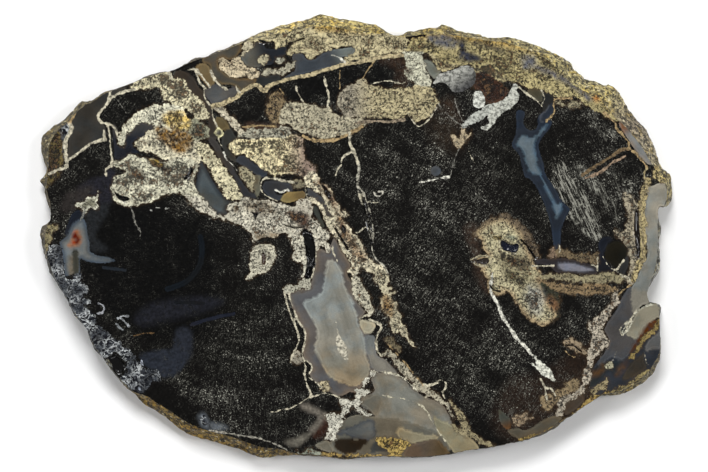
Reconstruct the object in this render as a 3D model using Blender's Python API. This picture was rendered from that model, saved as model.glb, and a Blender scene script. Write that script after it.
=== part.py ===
"""A sawn and polished slice of petrified wood, lying on its back.

The log turned to stone as one piece, so the slice is one solid. It is a flat slab with a
polished face on top, a sawn face underneath, and the log's natural outside as its rim. The
rind flares out below the polished face, and clefts where the wood once cracked open are sunk
into the face. Units are metres and +Z is up. The origin is the middle of the underside.
"""

import math

import bmesh
import bpy
from mathutils import Vector, noise

MM = 0.001

# Driving dimensions. The outline below is 159 by 112.2 mm.
THICKNESS = 9.0 * MM
RIM_STEP = 1.3 * MM  # spacing of the points round the rim
CLEFT_DEPTH = 5.5 * MM
CRACK_DEPTH = 2.5 * MM
RIDGE_SIZE = 3.6 * MM
RIDGE_DEPTH = 1.7 * MM
RIDGE_STRETCH = 2.2  # the log's grain runs up the rim, so its ridges are longer that way
PIT_SIZE = 2.6 * MM
PIT_DEPTH = 1.9 * MM
PIT_RARITY = 0.12
UNDERCUT = 0.6 * MM  # how far the rim draws in again at the underside
BELT_WANDER = 1.6 * MM  # how far the widest line climbs and falls
BELT_WAVE = 11.0 * MM
ROUGHEST_FLARE = 3.2 * MM  # a rind that flares this far is as rough as any
SMOOTHEST_SHARE = 0.3  # the roughness left where agate comes straight to the rim
FACE_EDGE_GAP = 0.4 * MM  # the least that the polished face stops short of the outline

# The widest outline of the slice, in millimetres, clockwise from the chip on its left.
WIDEST_OUTLINE = [
    (-79.5, 14.1), (-78.4, 15.2), (-77.4, 16.9), (-78.2, 18.5), (-78.9, 20.4), (-79.1, 23.0),
    (-79.0, 25.3), (-77.8, 26.4), (-76.6, 27.3), (-75.8, 28.2), (-74.4, 28.7), (-73.2, 29.4),
    (-72.2, 30.7), (-71.2, 31.8), (-70.0, 33.0), (-68.8, 34.2), (-67.5, 34.0), (-66.0, 34.5),
    (-64.8, 35.2), (-64.0, 36.0), (-62.5, 36.7), (-60.5, 37.1), (-58.5, 37.9), (-56.5, 38.6),
    (-55.0, 39.0), (-54.2, 39.9), (-52.8, 40.4), (-50.0, 41.2), (-48.2, 41.6), (-46.8, 41.5),
    (-44.0, 42.8), (-42.5, 43.7), (-41.0, 44.7), (-39.8, 45.2), (-38.2, 45.0), (-36.8, 45.6),
    (-35.0, 46.8), (-33.0, 47.2), (-31.5, 48.1), (-30.0, 48.7), (-28.5, 49.0), (-27.0, 50.3),
    (-25.0, 50.9), (-23.5, 51.7), (-21.5, 52.1), (-20.0, 52.7), (-19.0, 53.2), (-17.0, 53.4),
    (-15.0, 54.2), (-13.0, 54.6), (-11.5, 54.8), (-10.3, 55.6), (-8.5, 56.1), (-7.0, 55.9),
    (-5.3, 55.2), (-3.0, 54.8), (0.5, 54.2), (3.0, 53.6), (5.2, 53.4), (6.0, 52.8),
    (7.3, 51.9), (8.4, 50.9), (10.0, 50.6), (11.6, 50.6), (12.2, 51.4), (13.5, 51.8),
    (14.5, 51.6), (15.5, 51.9), (17.0, 52.5), (18.5, 52.6), (20.7, 52.6), (21.3, 53.5),
    (22.5, 53.3), (24.0, 52.6), (26.0, 51.9), (27.5, 51.4), (29.3, 51.2), (31.0, 51.0),
    (32.5, 50.3), (34.5, 50.0), (36.0, 50.1), (37.3, 50.4), (38.8, 50.2), (40.3, 49.8),
    (43.0, 49.0), (45.5, 48.1), (48.0, 47.0), (50.5, 45.9), (52.4, 44.9), (53.2, 44.2),
    (54.0, 44.0), (54.1, 43.0), (54.6, 42.0), (56.3, 41.0), (57.0, 40.1), (58.0, 39.5),
    (60.0, 39.2), (61.2, 38.6), (62.2, 38.0), (63.7, 38.6), (64.5, 37.8), (65.5, 37.0),
    (66.5, 35.8), (67.2, 34.5), (67.5, 33.3), (68.4, 32.7), (68.6, 31.7), (69.5, 30.7),
    (71.0, 28.8), (72.2, 27.9), (73.2, 26.6), (73.6, 25.0), (74.4, 23.8), (75.0, 22.5),
    (75.8, 20.0), (76.2, 18.5), (77.0, 17.0), (78.5, 16.4), (79.1, 15.3), (79.2, 13.2),
    (79.4, 11.8), (79.5, 10.2), (79.0, 8.6), (78.0, 7.5), (76.6, 7.8), (75.8, 7.0),
    (75.6, 5.8), (75.9, 4.6), (76.4, 3.2), (76.8, 1.8), (76.3, 0.4), (76.0, -1.0),
    (76.2, -3.0), (76.3, -5.0), (76.5, -6.5), (76.1, -8.5), (75.4, -9.8), (74.4, -11.0),
    (73.4, -13.0), (72.9, -14.2), (73.4, -16.3), (75.2, -16.6), (76.7, -16.9), (76.6, -18.5),
    (76.1, -20.3), (76.1, -22.0), (76.3, -24.0), (76.5, -28.0), (76.2, -31.0), (75.3, -33.0),
    (74.6, -34.5), (73.5, -35.5), (72.5, -36.5), (71.0, -37.3), (69.5, -38.2), (68.0, -39.2),
    (66.0, -39.7), (64.0, -39.9), (61.5, -39.8), (60.0, -40.7), (58.5, -41.8), (57.0, -42.8),
    (55.5, -43.8), (54.0, -45.0), (52.0, -46.2), (50.5, -47.8), (48.5, -48.8), (46.5, -49.8),
    (43.0, -51.0), (40.0, -51.6), (37.0, -52.2), (34.5, -52.8), (31.0, -53.3), (28.0, -53.6),
    (25.0, -54.3), (22.0, -54.9), (19.0, -55.2), (15.0, -55.4), (9.0, -55.2), (4.0, -55.2),
    (1.0, -55.4), (-1.0, -55.8), (-3.3, -56.1), (-5.0, -55.6), (-7.0, -55.2), (-10.0, -55.1),
    (-13.0, -54.9), (-15.0, -54.7), (-19.5, -55.0), (-21.5, -55.5), (-23.0, -55.6),
    (-25.0, -55.1), (-27.0, -54.3), (-29.5, -53.3), (-32.5, -52.4), (-35.5, -51.4),
    (-38.0, -50.9), (-39.7, -50.6), (-41.5, -49.8), (-43.5, -48.8), (-45.0, -47.6),
    (-47.0, -46.0), (-48.5, -44.8), (-50.5, -43.5), (-52.5, -42.5), (-54.0, -41.5),
    (-55.0, -40.3), (-55.5, -39.1), (-57.0, -38.6), (-58.5, -37.2), (-59.5, -35.8),
    (-60.7, -34.2), (-62.0, -32.8), (-63.2, -31.0), (-64.5, -29.5), (-65.6, -28.3),
    (-66.4, -26.5), (-67.2, -24.9), (-67.0, -24.0), (-68.0, -22.5), (-69.5, -21.0),
    (-70.7, -19.8), (-71.3, -18.5), (-72.1, -17.0), (-72.8, -15.5), (-73.4, -14.3),
    (-74.3, -13.0), (-75.1, -11.5), (-76.1, -10.2), (-77.0, -8.8), (-77.5, -7.0),
    (-77.9, -5.5), (-78.3, -4.0), (-78.8, -2.5), (-79.1, -1.0), (-79.3, 0.5), (-79.2, 2.0),
    (-78.6, 2.9), (-77.5, 3.4), (-76.8, 3.8), (-76.7, 4.7), (-76.5, 6.0), (-76.9, 7.2),
    (-77.5, 8.5), (-77.9, 10.0), (-78.2, 11.5), (-78.5, 12.7),
]

# How far the polished face stops short of the widest outline: (bearing in degrees,
# anticlockwise from +X, and millimetres). Wide where the rind flares, narrow where agate
# comes straight to the rim.
RIND_FLARE = [
    (-180, 1.2), (-171, 0.9), (-160, 0.7), (-154, 0.7), (-146, 0.8), (-142, 2.4),
    (-136, 2.6), (-127, 3.0), (-112, 2.8), (-104, 0.8), (-90, 0.6), (-70, 0.6), (-52, 0.6),
    (-44, 0.9), (-34, 0.6), (-32, 1.6), (-28, 2.2), (-24, 1.4), (-20, 0.5), (-13, 0.6),
    (-11, 0.9), (-6, 1.2), (3, 1.0), (7, 1.3), (11, 2.2), (15, 3.0), (21, 4.0), (27, 5.0),
    (33, 4.5), (39, 3.2), (48, 2.4), (57, 1.6), (68, 2.4), (75, 1.6), (80, 1.0), (88, 3.0),
    (98, 3.0), (111, 2.2), (120, 1.0), (132, 0.7), (149, 0.7), (155, 1.6), (162, 2.4),
    (172, 1.2), (180, 1.2),
]

# How the rim runs from the polished face down to the underside. Each ring is (depth as a
# share of the thickness, share of the flare reached).
RIM_RINGS = [
    (0.00, 0.00), (0.06, 0.16), (0.15, 0.38), (0.26, 0.62), (0.38, 0.83), (0.50, 0.96),
    (0.62, 1.00), (0.75, 1.00), (0.88, 0.99), (1.00, 0.96),
]
BELT = 6  # the ring that keeps to the widest outline

# Clefts in the polished face, as outlines in millimetres.
LEFT_CLEFT = [
    (-13.2, 1.0), (-12.2, 1.2), (-11.1, 0.6), (-10.6, -0.7), (-10.2, -2.2), (-10.05, -4.2),
    (-10.0, -6.2), (-10.2, -7.8), (-10.8, -9.2), (-11.2, -10.6), (-12.6, -10.5),
    (-12.1, -9.0), (-11.5, -7.4), (-11.35, -5.8), (-11.6, -4.2), (-12.1, -2.4),
    (-12.8, -0.8), (-13.4, 0.2),
]
LEFT_CRACK = [
    (-17.6, -14.0), (-17.0, -13.9), (-16.3, -16.2), (-15.4, -18.9), (-14.4, -21.4),
    (-13.5, -23.6), (-13.0, -25.3), (-13.3, -27.2), (-13.9, -28.8), (-14.2, -28.5),
    (-13.9, -26.6), (-13.9, -25.2), (-14.5, -23.3), (-15.4, -21.0), (-16.2, -18.7),
    (-16.9, -16.3),
]
FOOT_CLEFT = [
    (-12.1, -35.6), (-11.2, -35.7), (-9.9, -36.6), (-8.5, -38.1), (-9.5, -39.0),
    (-10.4, -38.6), (-11.2, -37.2),
]
RIGHT_CLEFT = [
    (0.5, -8.1), (1.7, -7.8), (2.7, -8.8), (4.0, -10.2), (5.1, -11.8), (6.0, -13.3),
    (5.7, -15.1), (5.9, -17.0), (6.7, -18.9), (8.1, -20.3), (8.3, -22.2), (7.4, -23.8),
    (6.9, -25.4), (8.1, -26.9), (9.9, -29.3), (11.9, -31.7), (14.1, -33.9), (15.8, -36.2),
    (15.0, -35.7), (12.3, -33.0), (9.5, -30.5), (7.5, -28.3), (6.0, -28.2), (5.3, -26.3),
    (6.3, -24.4), (6.9, -22.7), (5.6, -21.0), (4.3, -19.4), (4.2, -17.2), (3.4, -14.9),
    (2.4, -12.8), (1.2, -11.0), (0.6, -9.5),
]
KNOT_HOLLOW = [
    (-41.3, 16.4), (-40.9, 15.2), (-41.8, 14.3), (-43.4, 13.8), (-42.6, 14.7), (-41.8, 15.4),
]
RIND_HOLLOW = [
    (-60.1, 11.4), (-59.0, 10.7), (-57.6, 10.3), (-56.3, 9.7), (-57.3, 9.4), (-58.6, 9.7),
]

STONE_COLOUR = (0.035, 0.031, 0.028, 1.0)
STONE_ROUGHNESS = 0.18


def clear_scene():
    for old in list(bpy.data.objects):
        bpy.data.objects.remove(old, do_unlink=True)


def polished_stone():
    material = bpy.data.materials.new("polished_stone")
    material.use_nodes = True
    surface = material.node_tree.nodes["Principled BSDF"]
    surface.inputs["Base Color"].default_value = STONE_COLOUR
    surface.inputs["Roughness"].default_value = STONE_ROUGHNESS
    surface.inputs["Metallic"].default_value = 0.0
    return material


def evenly_spaced(outline, step):
    """The closed outline in metres, with points about one step apart along it."""
    corners = [Vector((x * MM, y * MM)) for x, y in outline]
    ends = corners[1:] + corners[:1]
    length = sum((b - a).length for a, b in zip(corners, ends))
    count = round(length / step)
    spacing = length / count
    points = []
    passed = 0.0
    for a, b in zip(corners, ends):
        side = (b - a).length
        while len(points) < count and len(points) * spacing <= passed + side:
            points.append(a.lerp(b, (len(points) * spacing - passed) / side))
        passed += side
    return points


def flare_at(bearing):
    """How far the rind flares at a bearing in degrees, in metres."""
    for (low, narrow), (high, wide) in zip(RIND_FLARE, RIND_FLARE[1:]):
        if low <= bearing <= high:
            share = (bearing - low) / (high - low)
            share = share * share * (3 - 2 * share)
            return (narrow + (wide - narrow) * share) * MM
    return RIND_FLARE[-1][1] * MM


def smoothed(distances, reach):
    """Running mean of the closed list, which takes small bumps out of the polished edge."""
    count = len(distances)
    span = range(-reach, reach + 1)
    return [sum(distances[(i + k) % count] for k in span) / len(span) for i in range(count)]


def worn_in(point):
    """How far the rough rind is worn in at a point, by furrows up the rim and by pits."""
    up_the_rim = Vector((point.x, point.y, point.z / RIDGE_STRETCH))
    furrow = abs(noise.noise(up_the_rim / RIDGE_SIZE)) * RIDGE_DEPTH
    pit = max(0.0, noise.noise(point / PIT_SIZE) - PIT_RARITY) * PIT_DEPTH
    return furrow + pit


def rim_rings():
    """Rings of points from the polished face down to the underside."""
    widest = evenly_spaced(WIDEST_OUTLINE, RIM_STEP)
    reach = [p.length for p in widest]
    even_reach = smoothed(reach, 3)
    rings = []
    for number, (depth, flared) in enumerate(RIM_RINGS):
        ring = []
        for p, far, even in zip(widest, reach, even_reach):
            outward = p / far
            flare = flare_at(math.degrees(math.atan2(p.y, p.x)))
            face_edge = min(far - FACE_EDGE_GAP, even - flare)
            distance = face_edge + (far - face_edge) * flared
            wander = BELT_WANDER * noise.noise(Vector((p.x, p.y, 0.0)) / BELT_WAVE)
            height = THICKNESS * (1 - depth) + wander * math.sin(math.pi * depth)
            if number == len(RIM_RINGS) - 1:
                distance -= UNDERCUT
            if number not in (0, BELT):
                room = min(1.0, flare / ROUGHEST_FLARE + SMOOTHEST_SHARE)
                distance -= room * worn_in(Vector((p.x, p.y, height)))
            ring.append((outward.x * distance, outward.y * distance, height))
        rings.append(ring)
    return rings


def slab_mesh():
    """The slice before it is cut: a loft through the rim's rings, closed by two flat faces."""
    bm = bmesh.new()
    rings = [[bm.verts.new(place) for place in ring] for ring in rim_rings()]
    for upper, lower in zip(rings, rings[1:]):
        for i, corner in enumerate(upper):
            bm.faces.new((upper[i - 1], corner, lower[i], lower[i - 1]))
    bm.faces.new(rings[0])
    bm.faces.new(rings[-1])
    bmesh.ops.recalc_face_normals(bm, faces=bm.faces)
    bmesh.ops.triangulate(bm, faces=[f for f in bm.faces if len(f.verts) == 4])
    mesh = bpy.data.meshes.new("petrified_wood_slice")
    bm.to_mesh(mesh)
    bm.free()
    return mesh


def cleft_cutter(name, outline, depth, collection):
    """A straight-sided block of the outline, from above the polished face down to a depth."""
    curve = bpy.data.curves.new(name, "CURVE")
    curve.dimensions = "2D"
    curve.fill_mode = "BOTH"
    curve.extrude = depth
    spline = curve.splines.new("POLY")
    spline.points.add(len(outline) - 1)
    for point, (x, y) in zip(spline.points, outline):
        point.co = (x * MM, y * MM, 0.0, 1.0)
    spline.use_cyclic_u = True
    drawn = bpy.data.objects.new(name + "_outline", curve)
    collection.objects.link(drawn)
    drawn.location.z = THICKNESS
    bpy.context.view_layer.update()
    graph = bpy.context.evaluated_depsgraph_get()
    mesh = bpy.data.meshes.new_from_object(drawn.evaluated_get(graph))
    bm = bmesh.new()
    bm.from_mesh(mesh)
    bmesh.ops.remove_doubles(bm, verts=bm.verts, dist=0.01 * MM)
    bmesh.ops.recalc_face_normals(bm, faces=bm.faces)
    bm.to_mesh(mesh)
    bm.free()
    cutter = bpy.data.objects.new(name, mesh)
    cutter.matrix_world = drawn.matrix_world.copy()
    cutter.hide_render = True
    cutter.display_type = "WIRE"
    collection.objects.link(cutter)
    bpy.data.objects.remove(drawn, do_unlink=True)
    return cutter


def cut_clefts(slab, collection):
    clefts = [
        ("left_cleft", LEFT_CLEFT, CLEFT_DEPTH),
        ("left_crack", LEFT_CRACK, CRACK_DEPTH),
        ("foot_cleft", FOOT_CLEFT, CRACK_DEPTH),
        ("right_cleft", RIGHT_CLEFT, CLEFT_DEPTH),
        ("knot_hollow", KNOT_HOLLOW, CRACK_DEPTH),
        ("rind_hollow", RIND_HOLLOW, CRACK_DEPTH),
    ]
    for name, outline, depth in clefts:
        cut = slab.modifiers.new(name, "BOOLEAN")
        cut.operation = "DIFFERENCE"
        cut.object = cleft_cutter(name, outline, depth, collection)


def main():
    clear_scene()
    specimen = bpy.data.collections.new("petrified_wood_slice")
    cutters = bpy.data.collections.new("cutters")
    bpy.context.scene.collection.children.link(specimen)
    bpy.context.scene.collection.children.link(cutters)
    slab = bpy.data.objects.new("petrified_wood_slice", slab_mesh())
    slab.data.materials.append(polished_stone())
    specimen.objects.link(slab)
    cut_clefts(slab, cutters)


main()
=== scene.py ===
"""A polished slice of petrified wood, lying on its sawn back on a pale floor.

Minerals took the place of the wood and filled its cracks. The slice is one closed mesh, and its
pattern is drawn in millimetres on its face: black wood first, then the agate in the cracks, the
cream crust of decayed wood, the small crystals along the rim, the white quartz and the veins.
"""

import math

import bmesh
import bpy
import numpy as np
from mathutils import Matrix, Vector, geometry, kdtree, noise


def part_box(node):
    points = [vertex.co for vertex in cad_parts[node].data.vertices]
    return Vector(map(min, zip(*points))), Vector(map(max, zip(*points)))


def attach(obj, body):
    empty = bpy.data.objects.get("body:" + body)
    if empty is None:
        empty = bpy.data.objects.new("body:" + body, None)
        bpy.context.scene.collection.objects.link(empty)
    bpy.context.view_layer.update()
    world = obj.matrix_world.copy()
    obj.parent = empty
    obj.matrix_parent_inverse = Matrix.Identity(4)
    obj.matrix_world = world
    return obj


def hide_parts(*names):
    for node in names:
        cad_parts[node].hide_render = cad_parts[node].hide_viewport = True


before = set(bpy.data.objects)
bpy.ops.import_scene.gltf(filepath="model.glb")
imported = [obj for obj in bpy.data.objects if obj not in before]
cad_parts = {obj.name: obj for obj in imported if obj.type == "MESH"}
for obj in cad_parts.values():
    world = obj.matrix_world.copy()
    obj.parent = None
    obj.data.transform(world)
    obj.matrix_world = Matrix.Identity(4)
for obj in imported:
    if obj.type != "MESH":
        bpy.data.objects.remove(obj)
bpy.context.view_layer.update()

# The sawn slab
# One piece of stone, cut from the log by a diamond saw. Its wall is the log's own rind, worn
# into furrows, and the walls of the clefts are broken edges that no polish reached. Both are
# taken from the plain solid, cut finer and roughened. The two flat faces are meshed further down.

MM = 0.001
WELD = 0.002 * MM
FLAT = 0.999  # a face this level is part of the polished face or of the back
EDGE_HAIR = 0.01 * MM
CHIPPING = 0.22 * MM  # how far the edges of the two faces are chipped
CHIP_SIZE = 1.1 * MM
GRAIN_DEPTH = 0.45 * MM
GRAIN_SIZE = 1.3 * MM
GRIT_DEPTH = 0.22 * MM
GRIT_SIZE = 0.55 * MM

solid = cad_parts["petrified_wood_slice"]
low_corner, high_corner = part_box("petrified_wood_slice")
face_height = high_corner[2]

wall = bmesh.new()
wall.from_mesh(solid.data)
bmesh.ops.remove_doubles(wall, verts=wall.verts, dist=WELD)


def is_flat_side(face):
    height = face.calc_center_median().z
    at_a_side = height > face_height - EDGE_HAIR or height < EDGE_HAIR
    return abs(face.normal.z) > FLAT and at_a_side


flat_sides = [face for face in wall.faces if is_flat_side(face)]
bmesh.ops.delete(wall, geom=flat_sides, context="FACES")
bmesh.ops.subdivide_edges(wall, edges=wall.edges, cuts=1, use_grid_fill=True)
bmesh.ops.triangulate(wall, faces=wall.faces)
free_corners = [corner for corner in wall.verts if not corner.is_boundary]
bmesh.ops.smooth_vert(
    wall, verts=free_corners, factor=0.4, use_axis_x=True, use_axis_y=True, use_axis_z=True
)
wall.normal_update()
for corner in wall.verts:
    inward = -corner.normal
    if corner.is_boundary:
        inward = Vector((inward.x, inward.y, 0.0)).normalized()
        chip = noise.noise(corner.co / CHIP_SIZE) * CHIPPING
        corner.co += inward * max(0.0, chip)
    else:
        grain = abs(noise.noise(corner.co / GRAIN_SIZE)) * GRAIN_DEPTH
        grit = abs(noise.noise(corner.co / GRIT_SIZE)) * GRIT_DEPTH
        corner.co += inward * (grain + grit)
        corner.co.z = min(max(corner.co.z, 0.0), face_height)
wall.verts.index_update()

# Black wood
# Cell walls and vessels replaced by quartz that carbon blackens. The sawn vessels show as pale
# specks, drawn out along the rays, and as ashy clouds where they are dense. Colours are sRGB,
# and every layer of the pattern is a list of shapes in millimetres, later ones over earlier.

CURVE_STEP = 0.5  # spacing of the points along a shape's edge
FAR = 9.0
MOTTLE = 0.9  # how blotchy a stain is


def linear(colour):
    """An sRGB colour of 0 to 255 as linear light."""
    share = np.asarray(colour, float) / 255
    return np.where(share < 0.04045, share / 12.92, ((share + 0.055) / 1.055) ** 2.4)


def soft_step(low, high, value):
    share = np.clip((value - low) / (high - low), 0, 1)
    return share * share * (3 - 2 * share)


def smooth_line(corners, closed):
    """A Catmull-Rom curve through the corners."""
    p = np.array(corners, float)
    if closed:
        p = np.vstack([p[-1], p, p[0], p[1]])
    else:
        p = np.vstack([2 * p[0] - p[1], p, 2 * p[-1] - p[-2]])
    line = []
    for a, b, c, d in zip(p, p[1:], p[2:], p[3:]):
        count = max(1, round(math.dist(b, c) / CURVE_STEP))
        for t in np.arange(count) / count:
            bend = (2 * a - 5 * b + 4 * c - d) * t * t + (3 * b - a - 3 * c + d) * t ** 3
            line.append(b + ((c - a) * t + bend) / 2)
    line.append(p[-2])
    return np.array(line)


def patch(layer, colour, *corners, **look):
    """Adds a closed patch. See measure for what look may hold."""
    layer.append({"line": smooth_line(corners, True), "closed": True, "colour": colour, **look})


def vein(layer, colour, width, *corners, **look):
    """Adds an open line of a width."""
    line = smooth_line(corners, False)
    layer.append({"line": line, "closed": False, "colour": colour, "width": width, **look})


def stain(layer, colour, strength, edge, *corners, **look):
    """Tints what is drawn there already, softly over a width of edge on each side."""
    patch(layer, colour, *corners, strength=strength, edge=edge, **look)


def depth_in(shape, places):
    """How deep each place lies inside a shape, in millimetres, less than 0 outside."""
    line = shape["line"]
    nearest = np.full(len(places), FAR)
    inside = np.zeros(len(places), bool)
    x, y = places.T
    for (ax, ay), (bx, by) in zip(line, line[1:]):
        dx, dy = bx - ax, by - ay
        length = dx * dx + dy * dy
        if length == 0:
            continue
        share = np.clip(((x - ax) * dx + (y - ay) * dy) / length, 0, 1)
        away = np.hypot(x - ax - share * dx, y - ay - share * dy)
        np.minimum(nearest, away, out=nearest)
        if shape["closed"] and ay != by:
            crosses = (ay > y) != (by > y)
            inside ^= crosses & (x < ax + (y - ay) * dx / dy)
    if shape["closed"]:
        return np.where(inside, nearest, -nearest)
    return shape["width"] / 2 - nearest


def mixed(colour, other, share):
    return colour + (other - colour) * share[:, None]


def measure(layer, places, extra=0.0, base=(0, 0, 0)):
    """Depth, linear colour and strength of a layer at places, and the topmost shape's own depth.

    A shape's look may hold core, a colour reached at the depth core_at; to, a colour that it
    fades to from the first place of fade towards the second; and extra, the layer's own number.
    """
    depth = np.full(len(places), -FAR)
    own_depth = depth.copy()
    colour = np.tile(linear(base), (len(places), 1))
    number = np.full(len(places), extra)
    for shape in layer:
        reach = 1.5 + shape.get("edge", 0) + shape.get("width", 0) / 2
        low = shape["line"].min(axis=0) - reach
        high = shape["line"].max(axis=0) + reach
        near = np.flatnonzero(((places > low) & (places < high)).all(axis=1))
        if not len(near):
            continue
        there = places[near]
        deep = depth_in(shape, there)
        tone = np.tile(linear(shape["colour"]), (len(near), 1))
        if "core" in shape:
            tone = mixed(tone, linear(shape["core"]), soft_step(0, shape["core_at"], deep))
        if "to" in shape:
            start, end = np.array(shape["fade"], float)
            along = (there - start) @ (end - start) / ((end - start) @ (end - start))
            tone = mixed(tone, linear(shape["to"]), soft_step(0, 1, along))
        if "edge" in shape:
            share = soft_step(-shape["edge"], shape["edge"], deep) * shape["strength"]
            share *= [1 + MOTTLE * noise.noise((x, y, 0)) for x, y in there]
            share = np.clip(share, 0, 1)
            colour[near] = mixed(colour[near], tone, share)
            if "extra" in shape:
                number[near] += (shape["extra"] - number[near]) * share
            continue
        drawn = (deep > 0) | (deep > depth[near])
        colour[near[drawn]] = tone[drawn]
        number[near[drawn]] = shape.get("extra", extra)
        own_depth[near[drawn]] = deep[drawn]
        depth[near] = np.maximum(depth[near], deep)
    return depth, colour, number, own_depth


# The number of a shape here is how dense its pale specks are.
BLACK_WOOD = (13, 12, 11)
BROWN_WOOD = (46, 34, 25)
# Black of coaly wood, and also the painted shade of the open gaps further down.
COAL_AND_GAP_SHADE = (9, 9, 9)
SPECKS = 0.4

wood = []
stain(wood, BLACK_WOOD, 1, 6, (6, 20), (20, 24), (32, 12), (36, 2), (30, -4), (14, -12), (8, 4),
      extra=0.95)
stain(wood, BLACK_WOOD, 1, 4, (30, 30), (46, 30), (50, 22), (47, 8), (40, 8), (34, 16), extra=0.25)
stain(wood, BLACK_WOOD, 1, 1.2, (49.6, 17.4), (51.8, 18.4), (54.4, 14.6), (57.6, 9.6), (60.4, 4.6),
      (62, 0.6), (60.6, -1), (57.6, 0.4), (54.6, 3.4), (51, 5.4), (49.4, 8.6), (49, 13), extra=2.7)
stain(wood, BLACK_WOOD, 1, 1.2, (55, 19.6), (57.4, 17.6), (61.4, 13.4), (65, 8.4), (66.4, 5),
      (64.6, 4.2), (61.6, 7.6), (57.8, 12.2), (54, 17.4), extra=1.9)
stain(wood, BLACK_WOOD, 1, 1.5, (60, 21), (64.4, 17.4), (68.4, 12.4), (69.6, 7.6), (67.6, 7.4),
      (64.6, 12), (60.6, 17.6), extra=1.5)
stain(wood, BLACK_WOOD, 1, 1, (56.6, 31.6), (60, 31), (65.4, 26.4), (64, 24), (59.6, 26.6), extra=1.5)
stain(wood, BLACK_WOOD, 1, 5, (8, -14), (30, -8), (44, -24), (50, -36), (40, -44), (26, -42),
      (16, -28), extra=0.65)
stain(wood, BLACK_WOOD, 1, 6, (-44, -28), (-30, -16), (-16, -12), (-14, -24), (-18, -40),
      (-30, -50), (-44, -44), extra=0.6)
stain(wood, BLACK_WOOD, 1, 3, (-56, -26), (-48, -35), (-40, -41), (-35, -46), (-38, -49), (-50, -42),
      (-58, -32), extra=0.05)
stain(wood, COAL_AND_GAP_SHADE, 1, 4, (-66, 8), (-46, 6), (-36, 2), (-35, -20), (-44, -26), (-60, -22),
      (-68, -8), extra=0.05)
stain(wood, COAL_AND_GAP_SHADE, 1, 2, (-19, 30), (-19, 38), (-4, 42), (10, 44), (12, 40), (4, 38), (-6, 34),
      extra=0.15)
stain(wood, BROWN_WOOD, 0.8, 1.5, (21.6, 33.8), (22.6, 34.8), (24, 34.6), (24.8, 33), (25.4, 30.8),
      (26.2, 29.2), (25, 28.6), (23.6, 29.8), (22.4, 31.6), (21, 31.8))
stain(wood, BLACK_WOOD, 1, 2.5, (27, 24), (28, 30), (34, 34), (40, 34), (40, 24), (34, 21), extra=0.2)
stain(wood, (44, 32, 24), 0.85, 1, (7, 45), (12.6, 46), (12.8, 38), (10, 38), (9.6, 42), (6, 43.6),
      extra=0.2)
stain(wood, (64, 48, 38), 0.85, 0.8, (-27, 28.4), (-20, 28), (-18, 30), (-19, 26), (-27, 26), extra=0.2)
stain(wood, (40, 32, 24), 0.7, 3, (18, 30), (22, 31), (26, 28), (26, 22), (20, 23))

stain(wood, (104, 110, 116), 0.6, 0.7, (-39.2, -44.6), (-37.8, -44), (-36.6, -46), (-33.6, -46.6),
      (-32, -47.8), (-36, -48.2), (-38.6, -47))
stain(wood, (36, 27, 21), 0.85, 2, (38, -36), (46, -34), (52, -30), (58, -26), (62, -30), (60, -38),
      (52, -46), (40, -51), (34, -46), extra=0.35)
stain(wood, (52, 40, 32), 0.8, 1.2, (27, 2), (29, -4), (30, -10), (33, -14), (31, -4), (30, 3))

# Agate
# Layered silica that settled in the cracks of the log, in slate blue, grey and brown. It is the
# glassiest part of the face, and thin bands follow the walls of each crack. A shape's number
# here is how strongly it is banded.

NAVY = (34, 38, 52)
SLATE = (62, 60, 68)
BLUE_GREY = (98, 108, 116)
PALE_GREY = (130, 129, 123)
BANDED = 0.5

agate = []

# The crack along the upper left rim and the cells beside it.
patch(agate, (49, 48, 45), (-71.2, 29.2), (-70, 31.2), (-68.6, 33.6), (-66, 34.2), (-63.6, 35.8),
      (-60.8, 36.8), (-57.2, 37.4), (-59.5, 35.7), (-61.6, 34.2), (-63, 32.2), (-64.4, 30.4),
      (-64.2, 28.9), (-62.8, 27.9), (-62.4, 24.6), (-64.6, 23.9), (-66.6, 23), (-68.4, 21.6),
      (-70.2, 20.2), (-71.6, 19.4), (-71.9, 22), (-71.5, 24.8), (-70.9, 26.8))
patch(agate, (58, 56, 54), (-60.6, 28.2), (-59.4, 26.8), (-59.9, 24.6), (-59.2, 22.7),
      (-57.6, 22.8), (-57.5, 25.6), (-56.4, 25.8), (-55.4, 26.8), (-55, 28.2), (-53.4, 28.6),
      (-51, 28.1), (-48.7, 27.7), (-49, 27), (-52.6, 26.3), (-52.7, 25.1), (-54.7, 24.5),
      (-55.8, 22.8), (-54, 21.2), (-56.7, 20.5), (-57.8, 19.8), (-60, 19.2), (-60.3, 21.5),
      (-60.6, 24.5), to=(30, 32, 38), fade=((-57, 28), (-57, 24)))
stain(wood, (33, 33, 39), 0.9, 0.8, (-67.5, 13.6), (-65.5, 14.6), (-63, 15.2), (-62.2, 17), (-60.2, 17.2),
      (-60.2, 15), (-60.9, 12.6), (-60.5, 10), (-61.5, 8.6), (-63.6, 8.2), (-65, 9.9),
      (-67.4, 9.7), (-70, 8.4), (-69.6, 11.8), extra=0)
stain(wood, (46, 42, 40), 0.9, 1.2, (-73.4, 8), (-72, 10.6), (-69.6, 11.8), (-67.4, 12.6), (-65.6, 12),
      (-67.4, 9.8), (-69.8, 8.4), (-70.2, 7.2), (-71.5, 6.5), (-73, 6.6), extra=0)
patch(agate, (91, 93, 95), (-75.5, 25.2), (-74.6, 27), (-73, 28.4), (-71.9, 28.4),
      (-72.4, 26.6), (-73.3, 25), (-73.6, 22.6), (-74.6, 22.6), (-75.2, 24))

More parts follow.
